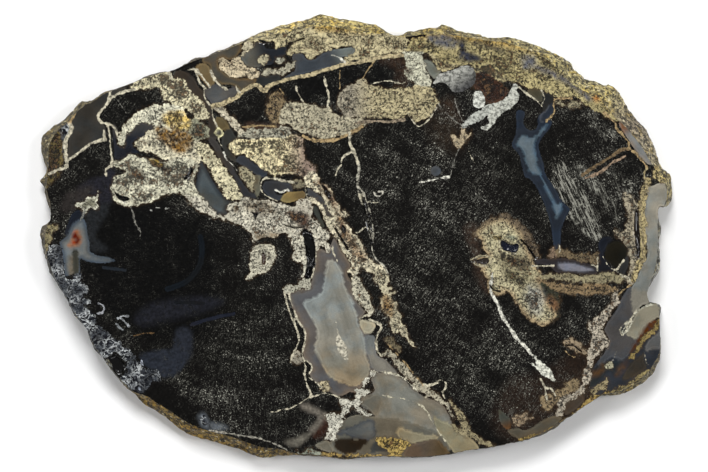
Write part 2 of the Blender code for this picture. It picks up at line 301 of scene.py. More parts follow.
# The grey eye at the left rim, with the navy above it and faint bands in the wood beside it.
patch(agate, (27, 30, 36), (-72.6, 1.4), (-70.9, 5.6), (-69, 6.8), (-67.6, 5.6), (-68.4, 4.4),
      (-69.6, 4.1), (-70.8, 3), (-71.6, 1.2), (-72.6, 0.4))
stain(wood, (34, 36, 38), 0.9, 0.7, (-67.4, 5.6), (-65.4, 6.9), (-63.6, 8), (-61.8, 8.5), (-62, 6),
      (-64, 3), (-65, 0), (-62, -3), (-66.2, -3), extra=0)
patch(agate, (56, 64, 72), (-70.5, 3.4), (-69.4, 4.2), (-68, 4.6), (-67.2, 3), (-67, 1),
      (-66.4, -1.5), (-66.3, -3.5), (-64.5, -4.6), (-62, -5), (-60, -5.8), (-62.5, -6.5),
      (-65.5, -6.4), (-67.5, -6), (-68.8, -5.5), (-68.9, -9), (-70.2, -9), (-72.4, -9.8),
      (-72.9, -7), (-73.4, -3.5), (-73.8, -1.2), (-72.4, 0), (-71.3, 2),
      core=(104, 108, 108), core_at=1.6, extra=0.9)
stain(agate, (92, 86, 74), 0.8, 0.5, (-71.8, -5), (-70.4, -4.4), (-69.6, -5.4), (-69.6, -8.6),
      (-71.4, -9.6))
vein(agate, (50, 51, 46), 1.4, (-70, -4), (-69.8, -6.4), (-69.7, -9))
vein(agate, (19, 22, 25), 1.4, (-47, -13), (-43, -11.5), (-40.5, -9.3), (-38.8, -6.5),
     (-38.4, -2.5), (-38.8, 0))
vein(agate, (28, 30, 38), 0.9, (-41, -21.9), (-38.5, -21), (-34, -19.8), (-30.5, -19.2))
vein(agate, (20, 21, 23), 0.8, (-45, -16.3), (-38, -16.5))
vein(agate, (28, 31, 34), 0.8, (-63, -7.6), (-57.5, -8.3))
stain(wood, (31, 32, 38), 0.8, 1.4, (-55, -20), (-50, -16.5), (-38, -15), (-33, -16), (-38, -18.5),
      (-46, -20.5), (-53, -22), extra=0)
stain(wood, (36, 39, 46), 0.95, 0.5, (-53.8, -29.4), (-51, -28.6), (-48, -28), (-45.6, -27.6),
      (-45.2, -25), (-44.6, -23.2), (-43, -22.4), (-41.4, -23), (-40.8, -25), (-41, -29),
      (-42.4, -31.4), (-44, -33.4), (-46, -34.8), (-48.4, -34.9), (-49.2, -33.4),
      (-51.4, -32.8), (-53, -31.4), to=(38, 42, 50), fade=((-42, -24), (-48, -34)), extra=0)

# The arcs and cells between the top rim and the bar of brown wood.
patch(agate, (86, 72, 50), (-38.3, 43.6), (-38, 45), (-35, 46.6), (-32, 47.6), (-29.6, 48.5),
      (-28.2, 47.4), (-29.2, 45.8), (-30.2, 44.6), (-31.6, 44.2), (-33.2, 44.6), (-34.2, 44.2),
      (-34.3, 42.6), (-33.4, 41.4), (-31.8, 40.3), (-29.8, 39.6), (-27.4, 39.6), (-25, 39.4),
      (-25.2, 38.2), (-27.2, 37), (-28.6, 36.2), (-29.6, 37.2), (-31.2, 38), (-33, 38),
      (-34.6, 38.6), (-35.8, 40), (-36.4, 41.6), (-36.6, 42.9), core=(70, 66, 58), core_at=1)
patch(agate, (62, 60, 60), (-37.9, 36.4), (-36.8, 37.2), (-35.2, 38.2), (-33.6, 37.4), (-32.2, 36.8),
      (-30.4, 37.6), (-29.9, 37), (-29.5, 35.8), (-31.6, 34.4), (-34, 33.4), (-35.6, 32.9),
      (-36.6, 34), (-37.6, 35.3), core=(80, 80, 78), core_at=1)
patch(agate, (104, 88, 61), (-40, 42.6), (-38.2, 43.4), (-36.7, 42.6), (-36.2, 40.9),
      (-35.2, 39.3), (-35.5, 38.1), (-36.8, 37.4), (-38.4, 39.2), (-39.7, 40.9))
patch(agate, (51, 46, 41), (-44.5, 41.5), (-42, 41), (-40.4, 39.6), (-39.4, 37.6), (-38, 36.2),
      (-37.8, 34.9), (-36.4, 33), (-36, 31.2), (-35.2, 28.6), (-34.6, 26.6), (-33.8, 24.8),
      (-36.5, 24.8), (-36.8, 27.2), (-37, 29.4), (-38.6, 31.8), (-39.8, 34.2), (-41.6, 36.6),
      (-42.8, 38.6), (-45.5, 39.7))
patch(agate, (54, 50, 46), (-36.8, 25), (-35.6, 24.6), (-34.4, 23.4), (-33.4, 21.6),
      (-32.2, 19.8), (-31, 18), (-30.2, 16.4), (-29, 14.6), (-27.6, 12.6), (-26.4, 11.2),
      (-25, 10.6), (-24.8, 9.6), (-26.4, 9.7), (-28.2, 10.2), (-29.2, 12.4), (-30.4, 14.6),
      (-31.8, 16.6), (-33.4, 18.6), (-34.8, 20.4), (-35.6, 22.4), (-36.6, 23.6),
      to=(43, 45, 49), fade=((-35, 22), (-28, 12)))
patch(agate, (47, 47, 44), (-33, 26.2), (-31.4, 27.2), (-30.4, 25.6), (-29.4, 24.4),
      (-31.2, 23.5), (-32.2, 22.8), (-31.4, 21.2), (-30.2, 20.2), (-29.9, 18.6), (-31.6, 19.6),
      (-33, 21.8), (-33.6, 23.6))
patch(agate, (87, 78, 56), (-34.9, 29.8), (-33, 29.6), (-32, 28.6), (-31.6, 27), (-33, 26.6),
      (-34.8, 26.9))
patch(agate, (46, 50, 56), (-29.8, 19), (-29.4, 20), (-28.4, 20.4), (-27.4, 20), (-26.2, 19),
      (-24.8, 18), (-23, 17), (-22, 16.2), (-22.3, 15.2), (-23.4, 14.8), (-25, 15.6),
      (-26.8, 16.8), (-28.4, 17.8))
patch(agate, (90, 87, 73), (-25.2, 15.4), (-23.8, 15.2), (-24, 13.4), (-23.8, 11.4),
      (-24.8, 9.9), (-25.2, 11.4), (-25.6, 13.4))
patch(agate, (48, 50, 53), (-22.8, 13.8), (-21.6, 14.1), (-19.6, 14), (-17.4, 13.6), (-16, 13),
      (-15.6, 11.8), (-16.6, 11.2), (-17.4, 11.4), (-19.6, 11.2), (-20.2, 11.6), (-19.8, 10.6),
      (-18.4, 10.4), (-18.6, 9.4), (-19.6, 9.2), (-21.4, 9.8), (-22.8, 11), (-23.3, 12.4))
patch(agate, (122, 107, 70), (-18.8, 9.2), (-18.4, 10.2), (-17.4, 11), (-16, 11.2),
      (-14.4, 11.4), (-13, 11.4), (-12.6, 10.2), (-13.4, 9.4), (-15, 9), (-16.6, 8.6),
      (-18, 8.6), to=(90, 78, 54), fade=((-17, 10), (-13, 10)))
patch(agate, (36, 38, 41), (-39.4, 19.4), (-38.4, 19), (-37.4, 17.4), (-36.4, 15.2), (-35, 13),
      (-33.4, 10.8), (-31.6, 9), (-30.8, 8.2), (-32.2, 7.6), (-32.2, 6.6), (-31.4, 5.4),
      (-33.6, 5.4), (-36, 6.4), (-38.4, 8.4), (-39.8, 10), (-40, 12.4), (-39.7, 14.8),
      (-39.2, 17), core=(70, 75, 75), core_at=1.3, extra=0.9)
patch(agate, (58, 58, 58), (-12.2, 12.4), (-11, 11.8), (-9.6, 10.8), (-8.4, 9.8), (-7.6, 8.6),
      (-7, 7), (-6.2, 5.6), (-6.2, 4.8), (-7.4, 5.4), (-8.2, 6.8), (-9.2, 8.4), (-10.6, 9.6),
      (-11.8, 10.4))
patch(agate, (51, 53, 48), (-11, 7.2), (-10.2, 7.9), (-9.4, 7), (-8.9, 5.2), (-8.2, 3.9),
      (-7.9, 2.6), (-8.6, 2.2), (-9.4, 3.4), (-9.8, 4.8), (-10.4, 6))
stain(wood, (112, 106, 96), 0.95, 0.6, (-14, -41.8), (-12.4, -41.6), (-10.6, -42.4), (-8.8, -43.4),
      (-7.6, -43.8), (-7.6, -46), (-8.2, -46.6), (-9.6, -48), (-10.6, -49.2), (-11.8, -48.2),
      (-10.6, -46.8), (-9.4, -45.4), (-9.6, -44.4), (-11.6, -43.6), (-13.4, -42.8), extra=0)
stain(wood, (104, 100, 90), 0.95, 0.6, (-18, -51), (-15.4, -50.4), (-13.4, -49.4), (-11.8, -48.8),
      (-11.8, -49.8), (-13, -51), (-14.6, -52.2), (-16.4, -52), extra=0)
stain(wood, (50, 30, 22), 0.85, 0.6, (-8, -45.4), (-7, -48), (-9.5, -50.4), (-11, -49.4),
      (-9.2, -47.6), extra=0.1)
vein(agate, (35, 35, 40), 0.6, (-7.4, 4.8), (-6.2, 3.4), (-5, 1.8), (-4, 0.6), (-3, -0.8),
     (-2.2, -2), (-1.6, -3.2))
patch(agate, (82, 82, 76), (-28.8, 44.8), (-28, 45.6), (-26.6, 46.6), (-25.6, 48.2),
      (-23.8, 48.7), (-22.4, 47.2), (-20, 46.9), (-18, 47.5), (-17.2, 47.4), (-17.7, 45.8),
      (-18.6, 44.8), (-20, 44.2), (-20.7, 43.2), (-22.2, 42.9), (-24, 42.6), (-26.6, 42.4),
      (-28, 43.4), to=(32, 35, 40), fade=((-27, 44), (-22, 46)))
patch(agate, (38, 41, 42), (-24.6, 40.9), (-23.2, 40.4), (-21.2, 40.4), (-19.2, 41),
      (-19, 39.2), (-20.8, 38.5), (-22.5, 37.7), (-24.8, 38.4))
patch(agate, (58, 61, 64), (-18.6, 39.3), (-15.2, 41.6), (-15.4, 43.2), (-16, 44.9),
      (-15, 45.8), (-13.2, 45.6), (-12.4, 44.4), (-10.5, 44.3), (-8.8, 45.6), (-6.8, 46.5),
      (-4.9, 46.9), (-3.5, 47), (-1, 47.4), (-0.1, 47), (-0.3, 45.8), (-1.5, 45.1),
      (-4.2, 44.8), (-2.9, 44.1), (-2.7, 43.2), (-4.4, 42.5), (-7.5, 42), (-10.6, 41.3),
      (-13.8, 40.5), (-14.7, 40.4), to=(95, 99, 94), fade=((-7, 44), (-2, 46)))

# The upper right: grey quartz agate beside the plumes, and streaks under the rim.
patch(agate, (101, 101, 90), (16.8, 44.2), (18.6, 43.9), (20, 42.4), (21.2, 41.2), (20.2, 40.2),
      (19.8, 39.4), (18.4, 40.4), (17.4, 42.4))
patch(agate, (66, 63, 51), (42.6, 36.2), (44, 37.2), (46, 36.8), (46.6, 35), (46, 33.6),
      (44.4, 34.8))
patch(agate, (36, 36, 35), (46.8, 36), (49.4, 35), (49.2, 33.4), (49.2, 31), (47.6, 29.4),
      (46.6, 32))

# The blue streak that runs down the right wood, and the lens and pocket at its foot.
patch(agate, (34, 40, 49), (38.9, 22.8), (39.8, 25.6), (40, 28.4), (40, 31.4), (42, 31.2),
      (41.8, 28.2), (43.4, 26.6), (45.2, 27.4), (45.4, 30), (47.4, 31.8), (48.8, 33.4),
      (49.3, 31.2), (47.8, 29.4), (49, 28.8), (48.2, 27), (46.6, 25), (45.5, 23), (46, 20.6),
      (46.8, 18.2), (47.2, 15.8), (48.8, 13.4), (50.4, 11), (50.8, 9.8), (52.4, 8),
      (53.4, 6.8), (52.2, 4.6), (51.2, 1.6), (51, -1.6), (50.6, -3.8), (49.9, -3.8),
      (49.2, -1.4), (48.8, 1.6), (48, 5.2), (46.6, 9), (45, 12.4), (43.4, 14.4), (42, 15.2),
      (41.4, 17.6), (40.6, 20.6), extra=0.9)
patch(agate, (56, 72, 84), (40.1, 23.4), (41.4, 25.4), (43, 24.9), (44.8, 25.2),
      (46.2, 26.8), (47.3, 28.2), (47.9, 28.4), (47.2, 26.8), (45.8, 25.4), (44.8, 24.2),
      (44.6, 22.4), (45, 20), (45.2, 17.6), (46.2, 15.6), (47.6, 13), (48.8, 10.4), (50, 8.2),
      (51.4, 8.6), (51.2, 6.8), (50.4, 5.2), (49.9, 4.4), (49.6, 6), (49, 8.2), (47.8, 10.8),
      (46.8, 13.2), (45.9, 15.3), (44, 15.8), (43.2, 16.6), (42.2, 19), (41.9, 20.8),
      (41.2, 22), core=(86, 99, 108), core_at=0.7, extra=0.7)
vein(agate, (58, 62, 68), 0.4, (46.6, 28.6), (45.8, 29.4), (46.2, 30.6), (47.4, 31.4),
     (48, 32.4))
patch(agate, (43, 41, 43), (45, -5.6), (48, -5.4), (51, -5.2), (54, -5.6), (57, -6.4),
      (59, -7), (60, -8), (60, -9.2), (56, -9.2), (52, -8.9), (50, -8.8), (48.6, -7.6),
      (46.5, -6.8), (45, -6.7))
patch(agate, (62, 64, 70), (50.2, -6.6), (52, -6.4), (54, -6.5), (56.2, -7), (58.4, -7.6),
      (59.6, -8.2), (58.4, -8.6), (56.4, -8.7), (54, -8.6), (51.6, -8.4), (50.6, -7.6),
      core=(106, 109, 120), core_at=0.5)
patch(agate, (26, 28, 33), (60.6, -1), (62.8, 0.2), (64, -0.6), (62.6, -2.2), (61.8, -4.6),
      (62.6, -6.2), (63.8, -7.8), (65, -8.6), (64.6, -8.9), (60.6, -8.7), (60.6, -5))
patch(agate, (25, 24, 19), (63, -1.6), (66, -1.2), (67.6, -3.5), (67, -6), (65.2, -7.6),
      (63.2, -6.4), (62, -5))
patch(agate, (42, 41, 40), (66.8, -6), (67.8, -4.6), (68, -7), (67, -9.2), (66.4, -9.8),
      (65.6, -8.6), (66, -7.4))

# Grey agate along the right rim.
patch(agate, (110, 102, 92), (65.5, 28.6), (68, 28.6), (70.2, 28.4), (72.4, 27.6),
      (73.2, 25.6), (74.6, 23.6), (74.8, 21), (74.9, 19), (73.6, 18), (72.2, 18.6), (70.8, 20),
      (69.6, 21.6), (68.6, 23.2), (67.6, 24.8), (66.6, 26.2), core=(117, 115, 110), core_at=1)
patch(agate, (130, 129, 120), (72.8, 12.4), (74, 12.8), (76, 13.6), (78.6, 13.2), (79.4, 11),
      (79.2, 9), (77.8, 7.4), (76, 7.6), (75.3, 6.4), (75.6, 4), (76.6, 1.8), (76, -1),
      (76.2, -5), (76.4, -7), (75.6, -9.4), (74.2, -11), (73, -13.6), (73.2, -16.4),
      (71.4, -17), (70, -18.6), (69, -20), (66.8, -21.4), (67.4, -18), (68, -15),
      (68.8, -12.4), (69.6, -11.2), (70.6, -9), (71.4, -7), (72.6, -5), (72.4, -1), (71.8, 2),
      (71.4, 6), (71.6, 9.5), to=(110, 110, 103), fade=((75, 8), (73, -8)), extra=0.7)
patch(agate, (44, 46, 50), (59, -33), (62, -29), (64, -26), (67, -21), (70, -20), (76.6, -21.6),
      (77.4, -25), (77.2, -30), (76, -32.4), (72, -36), (66, -39), (61.6, -40), (58.6, -38))
patch(agate, (65, 65, 66), (68.6, -12.2), (67, -14), (65.8, -16), (64.8, -18.4), (63, -21),
      (62, -23.2), (62.6, -24.6), (63.2, -26.2), (62.4, -28), (61.4, -29.6), (60.4, -31),
      (60, -32.6), (62.6, -30.8), (64, -30), (66, -30.6), (67.6, -29.8), (68.8, -28),
      (70.2, -26), (69, -24.8), (67.4, -24), (66.4, -24.6), (66, -23.2), (67, -22),
      (69, -20.4), (68.6, -16))
patch(agate, (117, 116, 104), (76.6, -17), (75.4, -16.6), (73.4, -16.8), (71.4, -17.6),
      (70, -19), (69, -20.4), (68.2, -21.6), (67.4, -24.2), (68.6, -25), (70, -25.4),
      (71.4, -24), (72, -22.4), (73.4, -21.2), (75, -20.2), (76.4, -19.6))
patch(agate, (83, 81, 78), (75.8, -23), (76.2, -26), (76.3, -28), (74.4, -27.8),
      (72.6, -28.6), (72, -28), (73, -25.8), (74.8, -24.2))
patch(agate, (51, 46, 39), (71.8, -28.8), (72, -31), (72.6, -32.4), (70.4, -34.4),
      (68, -35.4), (66.4, -35.4), (67.4, -33), (69, -31), (70.6, -30))
patch(agate, (35, 39, 41), (60.6, -31.8), (58.8, -35), (58.4, -37.2), (60, -36.6),
      (61.6, -34.8), (62.4, -33.4), (64, -33.6), (65, -34.6), (66, -31))

# The wide agate between the two clefts: a slate border, a paler core and a blue zone.
patch(agate, (93, 85, 76), (-10.1, -4), (-8.8, -2.9), (-7.6, -3.4), (-6.4, -2), (-5.4, -0.2),
      (-4.4, -1.8), (-3.4, -3.4), (-2.6, -4.8), (-1.3, -7), (-2.2, -9), (-1.2, -11), (-1, -13),
      (-0.4, -15), (1, -17), (2.2, -18.6), (1.8, -19.6), (0.8, -20.4), (1.2, -22.6),
      (2, -23.8), (3.8, -24.4), (4.8, -25), (4.9, -27.6), (5.4, -29.6), (7, -30.4),
      (8.4, -31.6), (9.8, -33.2), (10.4, -34.4), (7, -33.8), (4.6, -33.4), (3.2, -34.8),
      (2, -36.4), (1, -37.8), (-0.2, -38.8), (-1.4, -38.6), (-3, -39.4), (-4.6, -39.6),
      (-7, -38.4), (-8.8, -37.4), (-10.6, -35.6), (-11.6, -34.2), (-11, -32.6), (-12.2, -31),
      (-13.2, -29.8), (-13.2, -27.8), (-12.6, -25.6), (-12.8, -23.6), (-14.4, -21.2),
      (-15, -19.6), (-16, -17.4), (-16.6, -15.2), (-16.6, -13.8), (-14.4, -13.2),
      (-12, -12.6), (-11.2, -11.4), (-10.8, -9.6), (-10.1, -7.4), core=(84, 82, 81),
      core_at=1.6, extra=0.8)
patch(agate, (124, 126, 120), (-7, -5.8), (-5.4, -6), (-4.2, -7.4), (-3.4, -9.6), (-2.8, -12),
      (-1.8, -14.6), (-0.6, -17), (0.2, -19.6), (0.8, -22), (1.6, -24.2), (2.2, -26.4),
      (2.4, -29), (3.2, -31.2), (3.4, -33), (2.8, -34.8), (1, -36.6), (-1, -37.4), (-3, -36.6),
      (-5, -35.8), (-7.4, -34), (-8.4, -32), (-9, -30.4), (-10.2, -28.2), (-10.1, -26),
      (-9.6, -24.2), (-10.4, -21.4), (-12, -19), (-13, -17), (-13.1, -16.2), (-11.4, -15.4),
      (-9.6, -14.8), (-8.4, -13.2), (-7.9, -11), (-7.6, -8.6), to=(126, 116, 96),
      fade=((-4, -22), (-4, -37)), extra=1.0)
patch(agate, (90, 90, 88), (2.4, -24.6), (3.8, -24.4), (4.8, -25), (4.9, -27.6), (5.4, -29.6),
      (7, -30.4), (8.4, -31.6), (9.8, -33.2), (10.4, -34.4), (7, -33.8), (4.6, -33.4),
      (3.4, -31.8), (2.8, -29.6), (2.3, -27), core=(112, 112, 106), core_at=1)
patch(agate, (152, 143, 120), (0.8, -20.8), (2, -20.6), (3.4, -21), (4.8, -21.6), (4.6, -23),
      (3.4, -24.2), (2, -23.8), (1.2, -22.6))

# The lower lobe of that agate and the small pockets of the bottom rim.
patch(agate, (94, 90, 82), (3.8, -35.2), (5.2, -33.9), (7.4, -33.9), (9.8, -34.4),
      (12, -35.6), (13.8, -37.4), (15.4, -38.8), (17.2, -39.8), (19.2, -40.6), (21.6, -41.9),
      (22.8, -43.6), (23.6, -45.4), (24, -48), (22, -50), (20, -52), (13, -54), (12.4, -50.8),
      (5.4, -49.8), (5, -47.6), (4.8, -45.6), (4.4, -44), (2, -42.6), (1, -41.4), (1.4, -40),
      (3.4, -39.2), (4.6, -38.2), core=(116, 113, 102), core_at=1.2, extra=1.0)
patch(agate, (91, 87, 76), (-4.6, -47), (-1, -44.6), (3.4, -44.6), (12, -46), (20, -48.6), (26, -50),
      (27.4, -52), (22, -53.6), (16, -54.6), (8, -55), (-2, -54.6), (-6, -53), (-6, -49.6))
patch(agate, (101, 96, 84), (1.4, -40.6), (4.6, -39.2), (6.4, -40), (6.2, -43), (5, -44.6),
      (3, -43), (1.4, -41.8))
patch(agate, (126, 116, 92), (10.6, -47.6), (14, -48.6), (18, -49.4), (20, -49.4),
      (20.4, -50.4), (17, -50.8), (14, -51.6), (12.4, -50.8), (10.4, -49.8))
patch(agate, (84, 72, 60), (12.6, -53), (14, -51.6), (16.4, -51), (19.6, -50.4), (21, -51.2),
      (22.6, -52.8), (23.4, -54.2), (20, -54.9), (15, -55.3), (12, -54.8),
      to=(82, 66, 44), fade=((16, -52), (22, -53)))
patch(agate, (123, 116, 93), (19.4, -45), (21.6, -46), (24, -46.8), (25.2, -48.4), (27, -49),
      (29, -50.4), (30.4, -52), (30.6, -53.2), (28, -53.8), (25, -54.2), (23.4, -52.4),
      (21.6, -50), (20, -47.6))
patch(agate, (58, 59, 60), (-1.6, -47.6), (0.6, -46.6), (3, -45.6), (4.6, -46), (4.8, -48),
      (4.9, -49.6), (3.2, -50.6), (1, -50.2), (-1.2, -49.8), (-2.6, -49.2), (-5, -49.2),
      (-5.4, -48.4), (-3.4, -47.9), core=(86, 86, 82), core_at=1)
patch(agate, (105, 99, 85), (-10.2, -52.2), (-8.6, -51), (-7, -50.8), (-6, -51.8), (-5.4, -53),
      (-6.6, -53.8))
patch(agate, (52, 53, 52), (4.8, -50.8), (6.6, -52), (8.2, -53.4), (5.6, -53.6), (3.6, -53.6))
patch(agate, (36, 29, 21), (-5, -50.8), (-3, -50.4), (0, -50.6), (2.6, -50.6), (1.8, -52.2),
      (0, -53.6), (-1.2, -54), (-3, -54), (-5, -52.6))
patch(agate, (78, 72, 60), (37.8, -48.4), (40, -47.6), (42, -48.2), (44, -47.4), (46, -46),
      (48, -45), (50, -44.6), (51.4, -45.2), (50, -46.6), (48, -48), (45, -49.6),
      (42, -50.4), (39.6, -50))
patch(agate, (62, 62, 54), (35.5, -43), (36.4, -43.4), (37.6, -44.6), (38.6, -45.6),
      (38.6, -47.4), (37.6, -48), (36.6, -47.2), (35.8, -45.6), to=(84, 56, 32),
      fade=((37, -45), (38, -48)))
patch(agate, (63, 66, 69), (18.9, 17.4), (20.6, 17.6), (21.2, 16.2), (20, 15.2), (18.7, 15.8))
patch(agate, (63, 54, 45), (51.4, -40.8), (54, -39.8), (56.6, -39.2), (57, -41), (55, -42.8),
      (52.4, -44.4), (51.8, -43))

# Cream crust
# Wood that had rotted before it turned to stone, now a porous opal and quartz in cream and tan,
# with pits between its grains and a rusty seam along its edge. A shape's number here is how
# many of the pits it has.

CREAM = (198, 189, 160)
YELLOW_CREAM = (205, 192, 142)
WHITE_CREAM = (206, 203, 184)
GREY_CREAM = (166, 160, 140)
GOLD = (172, 140, 62)
TAN = (140, 120, 92)
PITS = 0.5

crust = []

# The four bands and lobes at the upper left.
patch(crust, (220, 211, 175), (-54.5, 39.6), (-51, 40.9), (-48.6, 41.3), (-46.6, 41), (-45.6, 39.6),
      (-43.5, 39.3), (-42.2, 38.3), (-41.8, 37), (-40.2, 35.3), (-39, 34), (-37.5, 32.5),
      (-37, 29.5), (-39.5, 29.5), (-41.5, 31), (-43, 32.4), (-46, 33.2), (-47.5, 34.5),
      (-48.3, 36.2), (-49.5, 37.4), (-52, 37.3), (-54, 36.9), (-56.5, 37.3), extra=0.9)
patch(crust, (226, 222, 196), (-59.7, 25), (-58.5, 26.5), (-58, 28), (-56.5, 29.5), (-54, 31.5),
      (-51, 32.8), (-48, 33.2), (-45.5, 33), (-43.2, 32), (-42.2, 30.5), (-41.6, 28),
      (-41.8, 26.2), (-43.5, 25.6), (-45.5, 25.8), (-47, 27), (-48.5, 27.6), (-51, 28.2),
      (-53.5, 28.7), (-55, 28.3), (-55.5, 26.8), (-56.3, 25.8), (-57.3, 26.4), (-57.6, 24.8),
      (-57.8, 23), (-58.8, 22.6))
patch(crust, (224, 216, 186), (-55.6, 22.7), (-54.4, 24.4), (-52.6, 25), (-52.4, 26.2),
      (-50.6, 26.9), (-48.4, 27), (-46.4, 26.1), (-44, 25.9), (-42, 26), (-40.4, 24.4),
      (-38.6, 23.6), (-37.8, 22), (-38.4, 20.2), (-39.4, 18.2), (-41, 19.5), (-44, 19.6),
      (-46.2, 19.4), (-48.4, 19.6), (-50.4, 20.8), (-53.2, 21.4))
patch(crust, (216, 212, 186), (-56.4, 20.6), (-54.6, 19.9), (-52, 19.6), (-49.6, 19.3), (-47.6, 18.4),
      (-45, 19.8), (-42, 19.8), (-39.6, 18.6), (-39.3, 17), (-40.1, 15.5), (-40.4, 13.5),
      (-39.4, 11.6), (-38.2, 9.6), (-37.6, 7.6), (-39.4, 6.8), (-41.4, 8.6), (-43, 10.6),
      (-44.6, 11.1), (-46.6, 10.8), (-49.2, 9.6), (-52, 8.6), (-55, 7.9), (-57.6, 7.8),
      (-59.6, 9), (-60.6, 10.9), (-60.9, 13.2), (-60.2, 15), (-58.6, 15.5), (-57.3, 16.3),
      (-58.6, 17.1), (-60.2, 17.6), (-59.8, 18.8), (-57.6, 19.7), extra=0.75)
patch(crust, (222, 220, 198), (-70.1, 7.3), (-69.6, 8.3), (-68.2, 8.6), (-67.2, 9.6), (-66, 10),
      (-65, 9.9), (-64.2, 11.3), (-63.7, 10.8), (-64.3, 9.4), (-64.7, 8.6), (-64.4, 7.4),
      (-65.4, 6.9), (-66.6, 7.3), (-67.3, 5.9), (-67.9, 6.6), (-68.6, 7.4),
      core=(132, 130, 110), core_at=0.7, extra=0.1)
patch(crust, (138, 128, 95), (-79, 2), (-77.4, 3.4), (-75.6, 3), (-74.4, 2.6), (-75.4, 1.2),
      (-76, -0.2), (-76.6, -1.8), (-77.2, -3), (-78.6, -2.4), (-79.2, 0))
patch(crust, (150, 149, 125), (-42.6, 29.8), (-40.4, 29.6), (-38.6, 28.6), (-37, 27.4),
      (-36.6, 25.6), (-38, 24.4), (-40, 24), (-41.6, 25.2), (-42.4, 27.4), extra=0.9)
stain(crust, (222, 192, 112), 0.95, 0.6, (-47.6, 30.8), (-43.2, 31.4), (-41.4, 28.8), (-42.4, 26.6),
      (-46, 27), (-48, 28.8), extra=0.6)
stain(crust, (138, 102, 44), 0.95, 0.6, (-50, 27.4), (-46.4, 26.8), (-42.4, 26.2), (-40.6, 23.8),
      (-42.6, 21.2), (-45.6, 21.4), (-48.4, 24), extra=0.7)
stain(crust, (46, 30, 16), 0.8, 0.3, (-47.8, 25.6), (-45, 24.8), (-42.6, 24.6), (-44.4, 23.8),
      (-46.6, 24.4))
stain(crust, (40, 30, 22), 0.95, 0.3, (-53, 20.6), (-50.6, 20.2), (-48.4, 19), (-46.6, 17.2),
      (-46.4, 15.8), (-47.8, 16.2), (-49.6, 17.6), (-51.6, 18.6), extra=1.2)
stain(crust, (196, 164, 80), 0.95, 0.3, (-51.6, 19.4), (-50, 19.3), (-48.4, 18), (-48.8, 17.4),
      (-50.4, 18.2))
stain(crust, (70, 58, 42), 0.8, 0.5, (-55.6, 17.2), (-53.6, 16.6), (-52.4, 14.6), (-54, 13.8),
      (-55.4, 15.4), extra=1.2)

# The bar that runs down beside the slate streak, and the crust round the bar of brown wood.
patch(crust, (222, 213, 176), (-40, 22.6), (-39.2, 23.4), (-37.4, 23.4), (-36, 22),
      (-35.2, 20.6), (-34, 18.8), (-32.4, 16.8), (-31, 15), (-29.8, 13.2), (-28.8, 11.4),
      (-28.4, 10.2), (-29.8, 9.2), (-31.2, 9), (-32.4, 10), (-33.6, 11.6), (-34.8, 13.4),
      (-36, 15.4), (-36.8, 17), (-37.6, 18.6), (-38.6, 20), (-39.6, 20.8), extra=0.3)
patch(crust, (213, 203, 177), (-36, 32.4), (-34, 32.8), (-32.6, 31.6), (-30.8, 30), (-29.2, 28.2),
      (-28, 26), (-28.4, 25), (-29.6, 26.4), (-31, 28), (-32.6, 29.6), (-34.2, 31))
patch(crust, (240, 226, 180), (-31.8, 22.8), (-30.4, 24), (-28.4, 24.4), (-26, 24.4),
      (-23.4, 24.6), (-21, 25), (-18.4, 25.4), (-16, 25.6), (-14, 25.2), (-13, 24.4),
      (-13.1, 22), (-12.6, 20), (-11.6, 18.8), (-10.4, 17.6), (-9.8, 16), (-9.6, 14.6),
      (-11, 15), (-12.8, 15.2), (-15, 15.6), (-18, 15.8), (-20.4, 15.4), (-22, 16.2),
      (-23.4, 17.2), (-25.4, 18.6), (-27.2, 20), (-28.6, 20.6), (-29.8, 20.4), (-30.8, 21.4),
      to=(150, 130, 115), fade=((-20, 20), (-12, 20)), extra=0.7)
patch(crust, (178, 174, 153), (-29.4, 25), (-28, 26), (-26, 27.2), (-23, 27), (-20, 27),
      (-17, 27.4), (-16.4, 25.6), (-18, 24.8), (-22, 24.8), (-26, 24.6), extra=0.8)
patch(crust, (160, 152, 123), (-29.4, 17.4), (-28.4, 17.8), (-27, 17), (-25.4, 15.4),
      (-25.4, 13.4), (-26, 11.6), (-27.2, 12.8), (-28.4, 14.6), (-29.2, 16.4))
patch(crust, (121, 114, 92), (-15.6, 14.2), (-14, 14.4), (-12.6, 13.4), (-13.6, 12.6),
      (-15.2, 12.2))
patch(crust, (186, 178, 151), (-17.9, 33.2), (-15, 33.5), (-12, 33.3), (-9.6, 32.8),
      (-7.4, 32.2), (-5.8, 31.2), (-4.4, 30.2), (-3, 30.3), (-1.4, 29.8), (0.5, 29.8),
      (2.4, 28.4), (1.4, 27.2), (0, 26.6), (-1.3, 25.8), (-3.8, 25.3), (-6.5, 24.9),
      (-9.6, 25), (-12.2, 25.6), (-14.6, 26.8), (-16.8, 27.8), (-18.8, 28.6), (-19.3, 30.4),
      extra=0.4)
patch(crust, (160, 152, 132), (-4.6, 33), (-4, 35.4), (-2.6, 37.3), (-0.4, 38.2), (2, 39.6),
      (3, 38.2), (5, 37.4), (8, 37), (11.5, 37), (14, 37.4), (16.5, 38.2), (18.8, 37),
      (20.2, 34.6), (20.5, 33.2), (19.4, 31.8), (18.4, 30.2), (17, 29.2), (15, 29),
      (14, 29.6), (12.8, 30.4), (11.6, 30.2), (10, 29.8), (7.6, 29.6), (5, 29.6), (3, 29.6),
      (1, 29.8), (-1.8, 29.8), (-3.4, 31), to=(184, 172, 134), fade=((-2, 33), (6, 33)),
      extra=0.4)
patch(crust, (204, 202, 178), (11.8, 46.6), (14, 46.8), (16.5, 46.4), (16.8, 44.6),
      (17.2, 43), (18.2, 41), (18.8, 39), (18.2, 37.8), (16.6, 37.5), (14.6, 38.4),
      (13, 39.6), (12, 40.6), (12.3, 42.4), (12, 45.2), extra=0.35)
